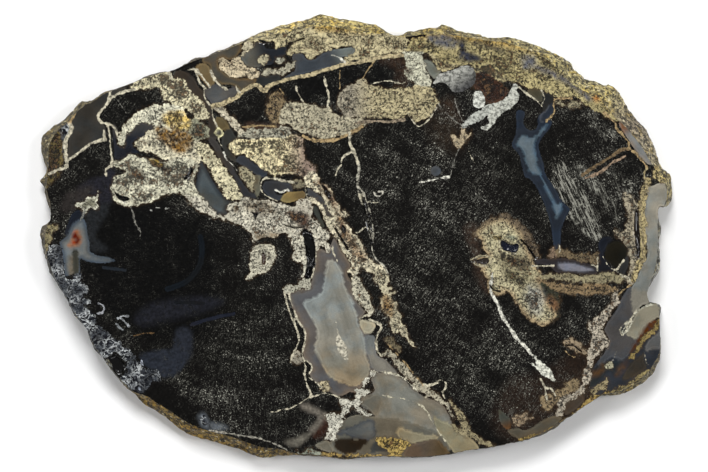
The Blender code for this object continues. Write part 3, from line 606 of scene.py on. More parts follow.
stain(crust, (70, 48, 30), 0.8, 0.5, (12.4, 41.9), (13.6, 41.9), (13.9, 40.6), (12.8, 40.2))
patch(crust, (133, 115, 85), (-21.8, 34.6), (-19.6, 36.3), (-17.9, 35.4), (-17.7, 33.6),
      (-18.8, 31.6), (-19.4, 28.6), (-20.8, 28.4), (-21.4, 30), (-22.6, 31.2), (-21.9, 33),
      extra=0.6)

# Gold and cream under the top rim, with the crescents that hang from it.
patch(crust, (193, 181, 142), (-28.5, 48.9), (-27, 50.2), (-23.5, 51.6), (-19, 53.1),
      (-13, 54.5), (-8.5, 56), (-3, 54.7), (3, 53.5), (7, 52), (9, 50.7), (11.6, 50.5),
      (12.8, 49), (12.8, 46.4), (9.2, 46.2), (6, 45.5), (3.5, 44.6), (1.2, 43.7),
      (-0.6, 44.2), (-1.6, 43.2), (-2.8, 43.2), (-2.9, 44), (-1.5, 45.1), (-0.2, 46),
      (-1, 47.5), (-4.9, 47), (-6.8, 46.6), (-8.8, 45.8), (-10.5, 44.5), (-12.4, 44.6),
      (-13, 45.8), (-15, 46), (-16.5, 45.3), (-17.3, 46.2), (-16.2, 47.6), (-14.5, 48.4),
      (-17, 48.4), (-18.5, 47.4), (-20, 47.4), (-20.6, 48.6), (-23.5, 48.9), (-25, 48.6))
stain(crust, (188, 152, 62), 0.9, 1.2, (-10, 54), (-6, 54.4), (0, 54), (5, 52.6), (4, 51),
      (-1, 51.2), (-6, 51.4), (-10, 52))
patch(crust, (210, 194, 161), (-34.1, 44.3), (-33.2, 44.5), (-31.5, 44.1), (-30, 44.5), (-29.2, 45.6),
      (-28.7, 44.2), (-27.4, 42.9), (-26.6, 42.2), (-25, 42.1), (-24.2, 41.2), (-24.7, 39.8),
      (-26, 39.6), (-28.2, 39.9), (-30.4, 39.9), (-32.2, 40.6), (-33.6, 41.8), (-34.2, 43))
patch(crust, (195, 185, 156), (-28.7, 45.3), (-28.1, 47), (-27.5, 48.9), (-26.2, 48.3), (-25.9, 47.4),
      (-27, 46.3))
patch(crust, (188, 179, 147), (-24.4, 44.4), (-23.6, 45.3), (-22.4, 45.2), (-22, 44), (-23, 43.3),
      (-24.2, 43.5))
patch(crust, (170, 167, 147), (-20.4, 43.6), (-20, 44.4), (-18.8, 45), (-17.8, 44.6), (-17.8, 43.8),
      (-19, 43.2))
patch(crust, (177, 171, 148), (-23.3, 41), (-22.3, 41.7), (-20.6, 42), (-18.6, 41.9), (-17, 42.9),
      (-16.1, 43.2), (-15.5, 43.8), (-15.5, 42.2), (-17, 41.2), (-18.6, 40.3), (-20.6, 40.6),
      (-22.4, 40.3))

# The mass where the bars meet, and the strands that run from it to the two clefts.
patch(crust, (206, 200, 180), (-42.6, 10.4), (-41.2, 8.6), (-39.6, 6.8), (-37.4, 5.9), (-35, 5),
      (-32.8, 4.3), (-30.6, 3.6), (-28.6, 2.9), (-26.6, 1.6), (-25.8, 0.4), (-26, -1),
      (-25.2, -1.2), (-24.2, -0.4), (-22.6, -0.2), (-20.4, 0), (-18.6, 0.9), (-17.2, 0.6),
      (-16.2, -0.6), (-14.4, 0.6), (-13.2, 1.2), (-11.4, 1.4), (-10.6, 0.4), (-10.2, -1.6),
      (-9.8, -3.4), (-9.2, -2.6), (-8.2, -2.6), (-7, -3.8), (-6.6, -2.6), (-7, -1.2),
      (-6.4, 0.2), (-7.6, 2), (-8.6, 2.2), (-9.6, 3.4), (-11, 5), (-11, 8), (-11.8, 9.4),
      (-13.2, 9.4), (-14.6, 9), (-15, 7.6), (-16.2, 7.4), (-18, 8), (-20, 8.6), (-22, 9.2),
      (-24.4, 9.2), (-26.4, 9.4), (-28.2, 9.8), (-29, 8.6), (-30.4, 8.8), (-32, 8), (-32.2, 7),
      (-31.6, 5.6), (-33.6, 5.8), (-36, 6.8), (-38.6, 9.6))
stain(crust, (100, 84, 60), 0.9, 0.3, (-30.9, 7), (-30, 7.9), (-29.1, 7), (-30, 6.1))
stain(crust, TAN, 0.7, 0.8, (-25.2, 1), (-20, 1.2), (-19.6, -0.4), (-24.6, -0.6))
stain(crust, (85, 60, 45), 0.85, 0.5, (-15.4, 6), (-13, 5.8), (-11.6, 5.4), (-11.4, 4),
      (-13, 3.8), (-15, 4.6))
patch(crust, (192, 185, 166), (-14.8, 8.4), (-13.6, 9.2), (-12.2, 9.2), (-11.2, 8.4),
      (-11.6, 7), (-12, 6.2), (-13.4, 6.1), (-14.6, 6.6), (-15, 7.4), extra=0.2)
patch(crust, (220, 210, 180), (-12.8, 15), (-10.6, 16.4), (-9.4, 15), (-8.6, 13.6),
      (-7.2, 12.6), (-6.2, 11.6), (-5.4, 10.2), (-4.8, 8.6), (-4.2, 7), (-2.4, 6.3),
      (-2.3, 5.3), (-3.6, 4.9), (-2.8, 3.6), (-1.8, 2.4), (-1, 1.2), (0.1, 0.4), (0.8, -1),
      (1.6, -2.6), (2.4, -4), (3.6, -5.4), (5, -6.4), (6.4, -7.2), (7.6, -8.4), (8.2, -10),
      (8, -11.6), (5.4, -11), (3.8, -9), (1.6, -7.6), (0.4, -8), (0.4, -9.6), (-0.9, -10.6),
      (-1.2, -9), (-2.2, -8.8), (-1.2, -7.4), (-1.6, -5.8), (-2.6, -4.2), (-3.6, -2.6),
      (-5, -0.4), (-6.4, 1.6), (-7.4, 3.6), (-8.4, 6), (-9.6, 8), (-11, 8.2), (-11.6, 9.4),
      (-10.4, 9.6), (-9, 8.2), (-8, 6.6), (-7.4, 5.2), (-6.2, 4.6), (-6, 5.8), (-6.9, 7.4),
      (-7.5, 8.8), (-8.4, 10), (-10, 11.4), (-12.2, 12.6), (-12.8, 13.6), extra=0.6)
patch(crust, (210, 205, 184), (-16.2, -0.6), (-14.4, 0.6), (-13.4, 0.2), (-12.8, -1.2),
      (-12, -3), (-11.6, -5), (-11.7, -7.2), (-12.6, -9.2), (-13.2, -10.8), (-13.4, -9.4),
      (-13, -7.6), (-13.4, -6.2), (-14.6, -6), (-15.8, -5.2), (-15.4, -3.6), (-15.6, -2.2))
patch(crust, (182, 179, 160), (-18, -13.8), (-18, -12.6), (-16.6, -12.2), (-14.8, -12), (-14, -11),
      (-12.8, -10.6), (-11.4, -10.8), (-11, -11.8), (-12, -12.8), (-14, -13.2), (-16, -13.6),
      (-17, -14), extra=0.3)
patch(crust, (155, 148, 131), (-16.3, -31), (-16, -29.6), (-15.2, -28.4), (-14, -28.6), (-13.4, -30),
      (-13, -31.2), (-14.4, -31.4), (-15.8, -31.4))
patch(crust, (192, 179, 145), (-9, -36), (-7.6, -35.8), (-6.6, -36.6), (-6.6, -38),
      (-7.8, -38.6), (-8.6, -37.6))

# The small ringed knot in the left wood.
patch(crust, (201, 196, 174), (-26.4, -4.6), (-26.2, -3.2), (-25, -2.2), (-23.4, -1.8),
      (-21.6, -2), (-20.6, -2.8), (-20.1, -4), (-20.2, -5.2), (-21, -6.6), (-21.8, -8),
      (-22.6, -9), (-23.6, -9.3), (-25, -9.4), (-26, -10.4), (-27.6, -10.6), (-27.2, -10),
      (-26.2, -9), (-26.6, -7.4), (-26.6, -6), extra=0.4)

# The strips along the right cleft and down to the bottom rim.
patch(crust, (198, 192, 169), (0.6, -8), (0.5, -9.6), (1.6, -11.4), (2.8, -13.6), (3.6, -15.8),
      (3.9, -17.6), (4.2, -19.2), (3, -19.4), (2.6, -18.8), (1.6, -17.4), (0.4, -16),
      (-0.6, -14.4), (-1.1, -12.6), (-0.9, -10.6))
patch(crust, (198, 189, 159), (3.6, -8.2), (5.2, -8), (6.4, -8.4), (8, -9.4), (8.2, -11),
      (7.6, -12.4), (8.8, -12.8), (8, -13.6), (9.6, -13.8), (8.6, -14.6), (9, -15.8),
      (10, -16.4), (10.2, -17.8), (11, -19.2), (11.4, -21), (12.2, -22.6), (13, -24.4),
      (13.6, -25.8), (14.6, -27.6), (12.4, -25.2), (11.2, -23.8), (10, -23.4), (8.8, -23.4),
      (8.2, -22), (8.4, -20.4), (7.2, -18.8), (6.2, -17.4), (6.2, -15.4), (6.4, -13.4),
      (5.4, -11.8), (4.6, -10.4), extra=0.6)
stain(crust, (140, 105, 55), 0.8, 0.8, (6.6, -14.6), (8.6, -15), (9.4, -17.4), (9, -20),
      (7.2, -19), (6.4, -17))
patch(crust, (111, 101, 78), (7.4, -25), (8.2, -26.6), (9.6, -28), (11, -28.8), (11.4, -28.2),
      (9.8, -26.8), (9, -25.2))
patch(crust, (174, 167, 145), (8, -29.6), (9.4, -31.6), (10.6, -33.6), (12.6, -35.2),
      (14, -36.4), (14.2, -37.8), (15.6, -38.4), (17.4, -39.2), (17.2, -40.2), (18.4, -39.8),
      (20, -40.8), (21.8, -41.8), (22.6, -42.4), (23.6, -44.6), (24.4, -46.2), (24.8, -45.6),
      (24, -43.6), (23, -41.6), (21.6, -40.4), (20, -39), (18.4, -37.8), (16.8, -37),
      (15.6, -35.6), (13.8, -34), (12, -31.8), (10.4, -30), (8.6, -28.2), (7, -28.8),
      (6.2, -29.6), extra=0.4)
patch(crust, (152, 141, 109), (23.2, -40.4), (24.4, -42.6), (26, -43.6), (27.2, -45),
      (28, -46.8), (29, -48.4), (30.4, -49.8), (32, -51), (34.4, -51.6), (34, -52.6),
      (31.6, -51.8), (29.6, -50.4), (27.2, -49.8), (25.4, -48.8), (24.2, -47.6),
      (24.2, -46.4), (25.6, -47.4), (26, -46.6), (25.2, -45), (24.4, -43.8))
patch(crust, (202, 199, 183), (-8, -50.6), (-7.6, -49.6), (-6.8, -48.2), (-6.8, -46.6),
      (-7.4, -45.2), (-7.6, -43.9), (-5.8, -44), (-4.2, -44), (-3.4, -42.8), (-4.2, -41.4),
      (-4, -40.6), (-3.2, -40.2), (-2.2, -40.4), (-0.8, -40.6), (0, -39.6), (-0.2, -38.6),
      (-1.2, -37.9), (-2, -37.2), (-3, -36.3), (-1.8, -36.9), (0, -37.6), (1, -37.8),
      (1.6, -36.6), (2.4, -35.6), (3.4, -34.6), (4, -33.4), (4.8, -33.6), (4.4, -34.6),
      (3, -36), (2, -37.4), (1.8, -38.2), (3, -38), (4.4, -38), (3.2, -38.9), (1.8, -39.4),
      (1, -40.2), (1.2, -41.2), (0.4, -42.2), (1, -42.8), (2.4, -43.4), (3.8, -44.2),
      (2.6, -44.5), (1.4, -44), (0, -42.8), (-0.8, -42), (-2, -43.2), (-3, -44.2),
      (-3.2, -46), (-3.6, -47.2), (-4.6, -48.4), (-5.4, -49.4), (-4.8, -50.2), (-6, -50.6),
      (-7, -50.4), extra=0.2)
patch(crust, (141, 145, 129), (-15, -53.6), (-13, -53.4), (-11, -52.6), (-9.4, -53.6),
      (-8.8, -54.8), (-11.4, -54.9), (-14, -54.4))
patch(crust, (182, 156, 90), (5, -49.8), (8, -49.9), (10.4, -50), (13.4, -51.4), (12, -53),
      (10, -54.8), (7.2, -53), (6, -51.6), extra=0.8)

# The speckled crust under the upper right rim and the foot of the plumes.
patch(crust, (184, 171, 130), (18.4, 46.4), (24, 43.4), (30, 42.8), (34, 43.4), (38, 39.6),
      (36, 38.8), (32.4, 40), (30.4, 39.4), (29, 41.4), (27.4, 43), (24.6, 42.2), (21.6, 41.4),
      (19.4, 43.4), extra=1.3)
patch(crust, (177, 164, 117), (12.8, 46.4), (14, 49.2), (20, 50.8), (30, 50.2), (38, 49.6),
      (44, 48), (52, 44), (62, 35.5), (66, 29.4), (64.6, 28.8), (63, 29.8), (61.4, 31),
      (59, 31.8), (57.4, 33), (55.6, 34.8), (53, 35), (50.6, 35), (48.4, 35.6), (46.6, 36.8),
      (44, 37.2), (41.8, 37.6), (39.6, 38.6), (37.4, 39.4), (35, 41.6), (33.6, 43.2),
      (30.4, 42.4), (28.8, 42.8), (25, 43), (22, 43.6), (20, 45), (18, 46.2), extra=0.65)
stain(crust, (186, 150, 72), 0.7, 1.2, (14, 49.6), (22, 51), (34, 50.6), (46, 48), (58, 41), (66, 31),
      (64, 31), (56, 39), (46, 45.4), (36, 47.6), (22, 49.6))
stain(crust, (90, 92, 102), 0.85, 0.7, (17.6, 50), (20, 50.5), (23, 50.3), (25, 49.2), (24.8, 47.2),
      (22.6, 47.2), (20.4, 47.6), (18.6, 48.6), extra=0)
stain(crust, (40, 42, 54), 0.95, 0.5, (24.8, 49), (27.4, 49.2), (27.2, 47.6), (28, 46.2), (30, 45.6),
      (31.4, 44.6), (30.8, 43.6), (28.4, 43.4), (26, 43.8), (25.4, 45.4), (25.8, 47), extra=0)
stain(crust, (46, 43, 44), 0.9, 0.5, (28.8, 48.6), (30.4, 49.2), (32, 48.4), (34.6, 47.6), (36.8, 46.8),
      (37.6, 46), (36, 45.8), (33.6, 46.8), (31, 47.7), (29.4, 48), extra=0)
stain(crust, (100, 102, 110), 0.85, 0.8, (41.4, 45), (44, 45.4), (45, 43.8), (44.2, 42.2), (42, 41.8),
      (41.2, 43.2), extra=0)
stain(crust, (84, 84, 94), 0.85, 0.5, (45, 43), (48.4, 41.8), (51.6, 40.2), (54.6, 38.2),
      (57.4, 36), (59, 34.4), (58, 33.8), (56, 35.6), (53.4, 37.4), (50.6, 39), (48, 40.4),
      (45, 41.4), extra=0)
patch(crust, (154, 145, 117), (49.6, 33.9), (52, 33.3), (54.4, 33.9), (56.4, 33.8), (56, 32.4),
      (54, 32.2), (52, 32.6), (50.2, 32.8))
patch(crust, (181, 165, 135), (24.2, 25.6), (25.6, 25), (26.2, 26.6), (26.9, 27.4),
      (27.4, 26), (28.8, 26.2), (28.4, 24.6), (27.6, 23.6), (26.6, 22.6), (25, 22.2),
      (24.6, 23.2), (23.8, 24.6))
patch(crust, (74, 46, 28), (29.2, 37.8), (29.4, 40.6), (31.2, 41.2), (33.4, 40.4), (35.6, 38.8),
      (37.4, 37.2), (38, 36.2), (37, 34.4), (35.2, 33.4), (33.4, 33.2), (32.2, 33.6), (31.6, 36),
      (30, 36.8), core=(50, 30, 20), core_at=1.4, extra=0.8)
stain(crust, (176, 112, 50), 0.8, 0.7, (52, 41.4), (53, 42.6), (54.2, 41.6), (53.2, 40.4))
stain(crust, (176, 112, 50), 0.8, 0.7, (59.2, 34.6), (60, 35.4), (60.8, 34.4), (60, 33.6))

# The big knot at the right, which the agate lens leaves from, with a tan halo round it.
patch(crust, (106, 93, 74), (29.4, 0.6), (30.2, 1.8), (31.6, 3.6), (33.6, 4.6), (35.4, 5),
      (36.8, 5.6), (38.4, 4.9), (40.2, 4.2), (41.2, 2.8), (42.6, 1.4), (43.6, 0.2),
      (44.4, -1.2), (45.2, -2.6), (45.8, -4), (46, -5), (44, -5), (41, -1), (38, 2), (34, 2.5),
      (31.4, 0))
patch(crust, (48, 49, 35), (46, -11.5), (48, -11.8), (50.2, -12.8), (50.6, -15), (50.8, -18),
      (50, -20.2), (48, -21.6), (46, -20.4), (47, -16))
patch(crust, (166, 146, 112), (30.2, 1.2), (31.4, 2.6), (33, 3.6), (35, 4.4), (37, 4.6), (38.6, 3.6),
      (40, 2.4), (41.2, 1), (41.8, -0.4), (42.4, -1.8), (43, -3.4), (43.6, -5), (44.2, -6.4),
      (45.2, -7.8), (46.4, -9.2), (45.6, -10.6), (46.2, -12.4), (46.8, -14.4), (47.6, -16),
      (48.8, -17.6), (50, -18.8), (50.2, -19.6), (49.2, -20.8), (47.6, -21.8), (46, -21.9),
      (44.2, -21), (42.6, -19.8), (41.2, -18.2), (39.6, -16.4), (39, -14.8), (37.8, -13.8),
      (36.4, -13.8), (35.6, -14.4), (34, -14.4), (33.4, -14), (32.9, -12.6), (33, -11.2),
      (32, -9.6), (31.4, -8.4), (31.8, -7.6), (30.4, -7.2), (29, -6), (30.2, -5.4),
      (32, -4.8), (33, -4.4), (32, -3.4), (31.4, -2), (31.2, -0.6), (30.2, 0.2),
      core=(196, 187, 150), core_at=1.8, extra=0.35)
stain(crust, (120, 112, 84), 0.7, 1.5, (36, -4), (42, -5), (44, -9), (46, -15), (47, -19), (44, -18),
      (41, -13), (37, -9), extra=0.8)
stain(crust, (95, 85, 65), 0.85, 0.7, (35.4, -4.5), (38, -4.6), (41, -4.8), (43.2, -6),
      (43.4, -7.6), (41.6, -8.2), (39.6, -7.6), (37.6, -6.2))
stain(crust, (85, 80, 55), 0.8, 0.6, (37.4, -8.8), (39.4, -8.6), (40.6, -9.4), (39.6, -10.8),
      (37.8, -10.6))
stain(crust, (120, 125, 105), 0.9, 0.3, (37.2, 0.2), (38.2, 0.6), (39.8, 0.2), (40.2, -0.6),
      (39.2, -0.9), (38.2, -0.6))
stain(crust, (80, 65, 25), 0.95, 0.3, (34, 0.2), (35.4, 0.3), (36.8, 0.4), (36.6, -0.4),
      (35.6, -0.8), (34.4, -0.7))
stain(crust, (130, 95, 65), 0.8, 0.8, (47.4, -15.2), (49, -15), (50.6, -17), (50.4, -18.4),
      (49, -18))
stain(crust, (176, 176, 168), 0.6, 1.2, (43, -12), (46, -13), (46.8, -16), (46, -19.5),
      (43.6, -18.6), (42, -15.6))

# The tan and cream bands that run from the knot to the right rim.
patch(crust, (114, 99, 74), (50.8, -2.2), (51.4, -3.2), (53, -3.4), (55, -4.2), (57.4, -4.4),
      (59.6, -4.6), (60.4, -4.2), (60.4, -6.6), (58.8, -6.4), (56, -5.9), (53.4, -5.2),
      (51, -5), (49.6, -4.6))
patch(crust, (130, 110, 90), (47.8, -4.6), (48.6, -3.2), (49.4, -2.4), (49.5, -4),
      (50.4, -4.8), (49, -5.2), (47.9, -4.9))
patch(crust, (138, 117, 86), (46, -10.8), (48.6, -11.6), (51.6, -11.9), (54.6, -12.2),
      (58, -11.7), (60.4, -11.8), (63, -12.2), (65, -12.6), (64.4, -13.6), (62.6, -14.2),
      (60, -14.2), (57, -14.3), (54, -14), (51, -13.8), (49.6, -13.4))
patch(crust, (152, 143, 112), (44, -7.4), (45, -8.4), (46.6, -9.4), (48.4, -9.2), (52, -9.4),
      (56, -9.6), (60, -9.5), (61, -8.8), (63, -8.8), (65, -9), (66.6, -10), (66.4, -11.4),
      (64.6, -11.2), (62.4, -11.2), (59, -11.2), (55, -11), (52, -10.9), (49, -10.6),
      (46.6, -10.2), (45, -9.4), extra=0.2)
stain(crust, (70, 45, 25), 0.9, 0.2, (45.8, -7.9), (48, -7.6), (50, -7.9), (50.2, -8.7),
      (47.6, -8.8))
patch(crust, (164, 154, 131), (66.6, 10.4), (68, 10.8), (69.4, 9.4), (70.2, 7.5),
      (69.6, 5.8), (69.2, 3.4), (69.4, 1), (70, -1.4), (70.6, -3.6), (71.6, -5), (71.4, -6.6),
      (70.6, -8.6), (69.8, -10.6), (68.8, -12), (67.4, -10.4), (68.2, -8.6), (68.6, -6.6),
      (68.4, -4.6), (67.6, -3), (67, -1.4), (65.8, -0.4), (64.8, 0.2), (64.4, 1.6), (66, 1.2),
      (67.2, 2), (67.6, 4), (68, 6.2), (67.6, 8), extra=0.8)
patch(crust, (206, 188, 134), (75, 17.6), (77, 16.6), (79, 15.2), (78.8, 13.6), (76.6, 13.6),
      (75, 14.2), (73.6, 15), extra=0.9)
vein(crust, (184, 168, 122), 1.5, (72.6, 14), (71.9, 11.5), (71.2, 7.2), (71.5, 2.4), (71.7, -2.9),
     (70.6, -6.8), (69.2, -10.6), extra=0.7)

# The granular vein down the lower right, and the gold along the rim beside it.
patch(crust, (185, 175, 156), (64.8, -13.6), (65.6, -15), (65.4, -16.4), (64.2, -18),
      (63, -19.6), (62.4, -21), (61.2, -22.4), (60.6, -23.2), (61.6, -24), (62.4, -25),
      (63, -26), (62.6, -27.4), (61.4, -28.2), (60.8, -29.2), (59.4, -30), (59, -31.4),
      (58.8, -33), (58.8, -34.6), (58, -36.2), (57.4, -37.4), (56.8, -38.6), (55.6, -39.4),
      (54, -40.4), (52.6, -41.4), (51.6, -43), (51.4, -44.6), (50, -44.4), (50, -43.2),
      (50.4, -41), (50.8, -39.6), (53, -39), (54.6, -38.8), (55.8, -37.6), (56.4, -36),
      (56.6, -34.4), (57.2, -32.6), (57.6, -31), (57.4, -29.8), (58.2, -28.6), (58.4, -27.2),
      (58.4, -26), (59, -24.6), (58.6, -23.4), (57.8, -22.2), (58.2, -21.2), (59.2, -20.8),
      (60.6, -19.8), (61.6, -18.4), (62.6, -17.4), (63.6, -16), (63.8, -14.6), extra=0.8)
patch(crust, (137, 120, 91), (51, -38), (53, -36.4), (55, -35), (56, -36.4), (54.6, -38.6),
      (52, -39.6), (50.4, -41), (49, -43), (47.6, -43.4), (46.4, -41.6), (46.2, -40),
      (47, -39.6))
patch(crust, (151, 134, 109), (51.6, -26.3), (53, -25.6), (54.2, -25.3), (55.6, -26.6),
      (57.2, -28.4), (57.4, -29.4), (56, -29), (54, -28), (52.6, -27.4))
patch(crust, (178, 173, 145), (62.4, -31.8), (63, -31.2), (63.8, -31.6), (63.8, -32.6),
      (62.8, -33), (62.2, -32.6))
patch(crust, (157, 143, 108), (62.6, -34.6), (63, -36.6), (62.4, -38), (60.6, -38),
      (59.4, -39.2), (58.4, -39.4), (59, -38), (60.6, -37), (61.6, -35.8))
patch(crust, (146, 132, 90), (76.2, -31.4), (74, -32.4), (71.4, -34), (68.6, -36), (66, -37.4),
      (63, -39.2), (60.6, -41), (63, -41.8), (66, -41.4), (69.4, -40), (72.6, -38), (75.4, -35.6),
      (77, -33), extra=0.6)
stain(crust, (150, 122, 62), 0.7, 0.6, (76, -33), (73, -35), (69, -37.8), (65, -39.8), (66, -41), (70, -39.4),
      (74, -36.6))
vein(crust, (158, 134, 80), 0.7, (-8, -54.2), (-2, -54.4), (4, -54.6), (8, -54.8), (12, -55), extra=0.8)
vein(crust, (166, 142, 84), 1.2, (41, -50.8), (44.4, -50), (48.4, -48.4), (53.4, -45.2), (56.4, -42.8),
     (59, -40.6), (62.8, -39.2), extra=0.9)
patch(crust, (141, 123, 74), (75.8, -20.6), (75.6, -22), (74.4, -23.6), (72.6, -25.4),
      (71.4, -27), (70.4, -28.6), (69, -30), (67.6, -30.6), (68.4, -29.4), (70, -27.8),
      (71, -25.8), (72.4, -24), (74.2, -22.8), (75, -21.2))
patch(crust, (152, 134, 109), (39, -45), (40, -44.2), (41, -44.6), (42.4, -43.8),
      (42.8, -44.6), (44, -45), (42.4, -46), (40.8, -46.9), (39.6, -46.8), (39, -46))
stain(agate, (75, 40, 15), 0.85, 0.5, (75.4, -20.4), (73.6, -21), (72.2, -22.2),
      (71.2, -23.6), (70, -26), (69, -27.6), (68.4, -29), (70, -27.4), (71.4, -25.4),
      (73, -23.8), (74.6, -22.4))
stain(agate, (85, 60, 35), 0.7, 0.8, (61.6, -31.4), (62, -33), (60.8, -34.4), (59.2, -35),
      (59, -33.8), (60.4, -33), (61, -32))
stain(agate, (90, 62, 36), 0.6, 1, (67.6, -31), (67, -33), (65, -34.6), (65.4, -32.6))
stain(agate, (120, 76, 42), 0.7, 1, (65.8, 28.6), (67.6, 28.4), (68.2, 26.4), (66.4, 26))
stain(agate, (150, 96, 56), 0.7, 0.4, (-71, -0.4), (-70.2, 1.6), (-69.2, 1.8), (-68.4, 0),
      (-68.6, -1.6), (-69.6, -2.4), (-71, -2.6), (-71.8, -2.4))
stain(agate, (84, 22, 8), 1, 0.2, (-70.8, 0.6), (-70, 1), (-68.9, 0), (-68.8, -1), (-69.8, -1.6),
      (-70.6, -0.8))
stain(agate, (150, 60, 24), 1, 0.15, (-70.4, 1.4), (-69.7, 1.5), (-69.6, 0.9), (-70.2, 0.9))
stain(agate, (140, 52, 20), 1, 0.15, (-71, -1.4), (-70.2, -1.3), (-70.3, -2), (-70.9, -2))

stain(crust, (84, 60, 46), 0.85, 0.7, (-17, 6.4), (-14.6, 6.2), (-12.6, 5), (-11.4, 2.6), (-12.6, 1.6),
      (-14.4, 3), (-16.4, 4.4), extra=1.0)
stain(crust, (120, 84, 58), 0.7, 0.8, (-9.6, 14.4), (-7.4, 13.4), (-5.2, 9.6), (-4, 6.4), (-5.6, 7.4),
      (-7.4, 9.8), (-9.4, 12.8), extra=0.9)
stain(crust, (150, 116, 82), 0.7, 0.8, (-4, 6), (-1, 0), (2.6, -5), (1.2, -6), (-1.8, -2.6),
      (-4.4, 3), extra=1.0)
stain(crust, (112, 96, 72), 0.6, 0.8, (-28, 9), (-22, 8.6), (-20, 6), (-24, 5.6), (-27.6, 7),
      extra=1.1)

patch(crust, (99, 86, 49), (-79.2, 24), (-78.4, 27), (-76.6, 29.6), (-74.8, 31.4), (-73.4, 30.6),
      (-74.4, 27.4), (-73.4, 24), (-73.2, 20), (-73.8, 16.4), (-75.8, 13.6), (-78, 12.4),
      (-79.4, 14), (-79.6, 19), extra=1.1)
stain(crust, (52, 40, 26), 0.8, 0.5, (-77.6, 20), (-76.2, 23), (-75.2, 22), (-75.6, 18), (-77, 16.4))

vein(crust, (104, 90, 62), 1.3, (-73.6, 31.6), (-70.8, 34), (-67.6, 36.2), (-64, 38), (-60, 40), (-56, 42),
     extra=1.1)
stain(crust, (150, 112, 60), 0.7, 0.6, (-54, 43.4), (-51, 44.2), (-48, 45), (-48.4, 43), (-52, 42))

# Crystals along the lower left rim
# Small quartz crystals, white and lilac on navy agate, where a hollow under the bark was open
# while the log turned to stone. They are sawn flat with the rest of the face.

crystals = []
patch(crystals, (176, 180, 188), (-75, 26.4), (-73.8, 28.8), (-72, 29.8), (-71.2, 28), (-72, 24.4),
      (-72.6, 21), (-73.4, 18.6), (-74.2, 20), (-74, 23))
patch(crystals, (112, 116, 124), (-77, -3), (-75, -1.8), (-73.6, -2.6), (-73, -5), (-72.9, -8),
      (-72.6, -10), (-71, -10.8), (-69.8, -9), (-68.4, -9.2), (-68.8, -11), (-67.2, -12),
      (-66.8, -13.6), (-68, -15), (-66, -16.2), (-67.8, -17), (-66, -18.6), (-64.8, -20.2),
      (-64.8, -21), (-66, -22.5), (-67.5, -24.5), (-73, -17), (-78, -8))
patch(crystals, (112, 116, 124), (-66.8, -24.4), (-65, -22), (-63.6, -22.6), (-62, -23.8),
      (-60.4, -25.4), (-58.6, -26), (-58.4, -27.4), (-57, -27.8), (-56, -28.8), (-55, -30.4),
      (-56.6, -30.8), (-57.8, -30.6), (-58.8, -29.4), (-60, -28.4), (-61.6, -29.6),
      (-62.8, -30.4), (-64.4, -29), (-65.6, -27.8), (-66.4, -26.5))
patch(crystals, (112, 116, 124), (-57.4, -31.6), (-55.4, -30.8), (-54, -31.2), (-53.2, -32.6),
      (-52, -33), (-50, -33.2), (-49, -33.4), (-48.8, -35.8), (-50.4, -35.8), (-51.4, -36.6),
      (-52, -38), (-54, -39), (-56, -38), (-58.4, -36.6), (-58.6, -35), (-57, -33.4))

# White quartz and veins
# Quartz that filled the last gaps: feathery plumes at the top right, a white streak below the
# big knot, and the thin cream veins that wall off every agate cell from the wood beside it.

QUARTZ_WHITE = (214, 212, 198)
VEIN_CREAM = (192, 185, 162)
VEIN_TAN = (158, 136, 98)
VEIN_GREY = (120, 118, 110)

quartz = []
patch(quartz, (158, 158, 150), (20.5, 40.4), (22.5, 41.2), (25, 42), (27.5, 42.8),
      (29.2, 42.2), (29.8, 40), (29.4, 38), (27.8, 37.2), (25.8, 36), (24.2, 36.2), (22.8, 38),
      (21, 38.6), (19.2, 38.2), (19.9, 39.4), to=(66, 66, 66), fade=((24, 41), (27, 36.5)))
patch(quartz, (171, 173, 164), (26.4, 27.2), (27.4, 29), (28.8, 30.6), (31, 31.6), (33, 33.1),
      (34.6, 33.2), (35, 32), (33.4, 30.8), (31.8, 29.6), (30.2, 28.6), (28.4, 27.9),
      (27.2, 27.3))
patch(quartz, (183, 184, 173), (31, 27.1), (32.6, 26.7), (34.2, 27.9), (35.2, 29.6), (37, 31.2),
      (39, 32.4), (40.3, 34), (40.7, 35.8), (40, 36.6), (40.6, 37.8), (39.4, 38.2),
      (38.6, 36.8), (37.6, 35.2), (36.4, 34), (34.6, 33.2), (33.4, 31), (32.8, 29.6),
      (33.4, 28.6), (32.6, 27.8), (31.6, 27.6))
patch(quartz, (198, 199, 189), (29.2, 36), (31.2, 36.4), (32, 34.6), (32, 32.6),
      (29.8, 32.2), (29.2, 33.6))
patch(quartz, (190, 184, 165), (-5, -20.6), (-4.6, -22.6), (-4.2, -24.6), (-3.4, -26),
      (-2.4, -27.6), (-2.2, -29), (-2.6, -30), (-1.8, -30.4), (-2.6, -30.6), (-3.6, -29.8),
      (-4.4, -28.4), (-4.9, -26.4), (-4.7, -24), (-5.1, -22))
patch(quartz, (214, 214, 199), (44.4, -29.6), (45.8, -31), (47.4, -32.2), (48.6, -33.4),
      (49.4, -34.8), (49.8, -35.9), (48.2, -35.4), (46.6, -34.4), (45.2, -33), (43.6, -31.8),
      (42.6, -31.2), (44, -31.4), (45.2, -32))
patch(crystals, (150, 160, 160), (-38.9, -45.2), (-38, -44.3), (-37.5, -45.6), (-36.6, -47),
      (-38, -46.8), (-38.8, -46.2))
vein(quartz, QUARTZ_WHITE, 0.72, (34, -9), (33.6, -13), (34, -14.6), (35, -16), (36, -18.5),
     (37.2, -21), (38.6, -23), (40.2, -25.4), (42.6, -27.8), (44, -29.6))

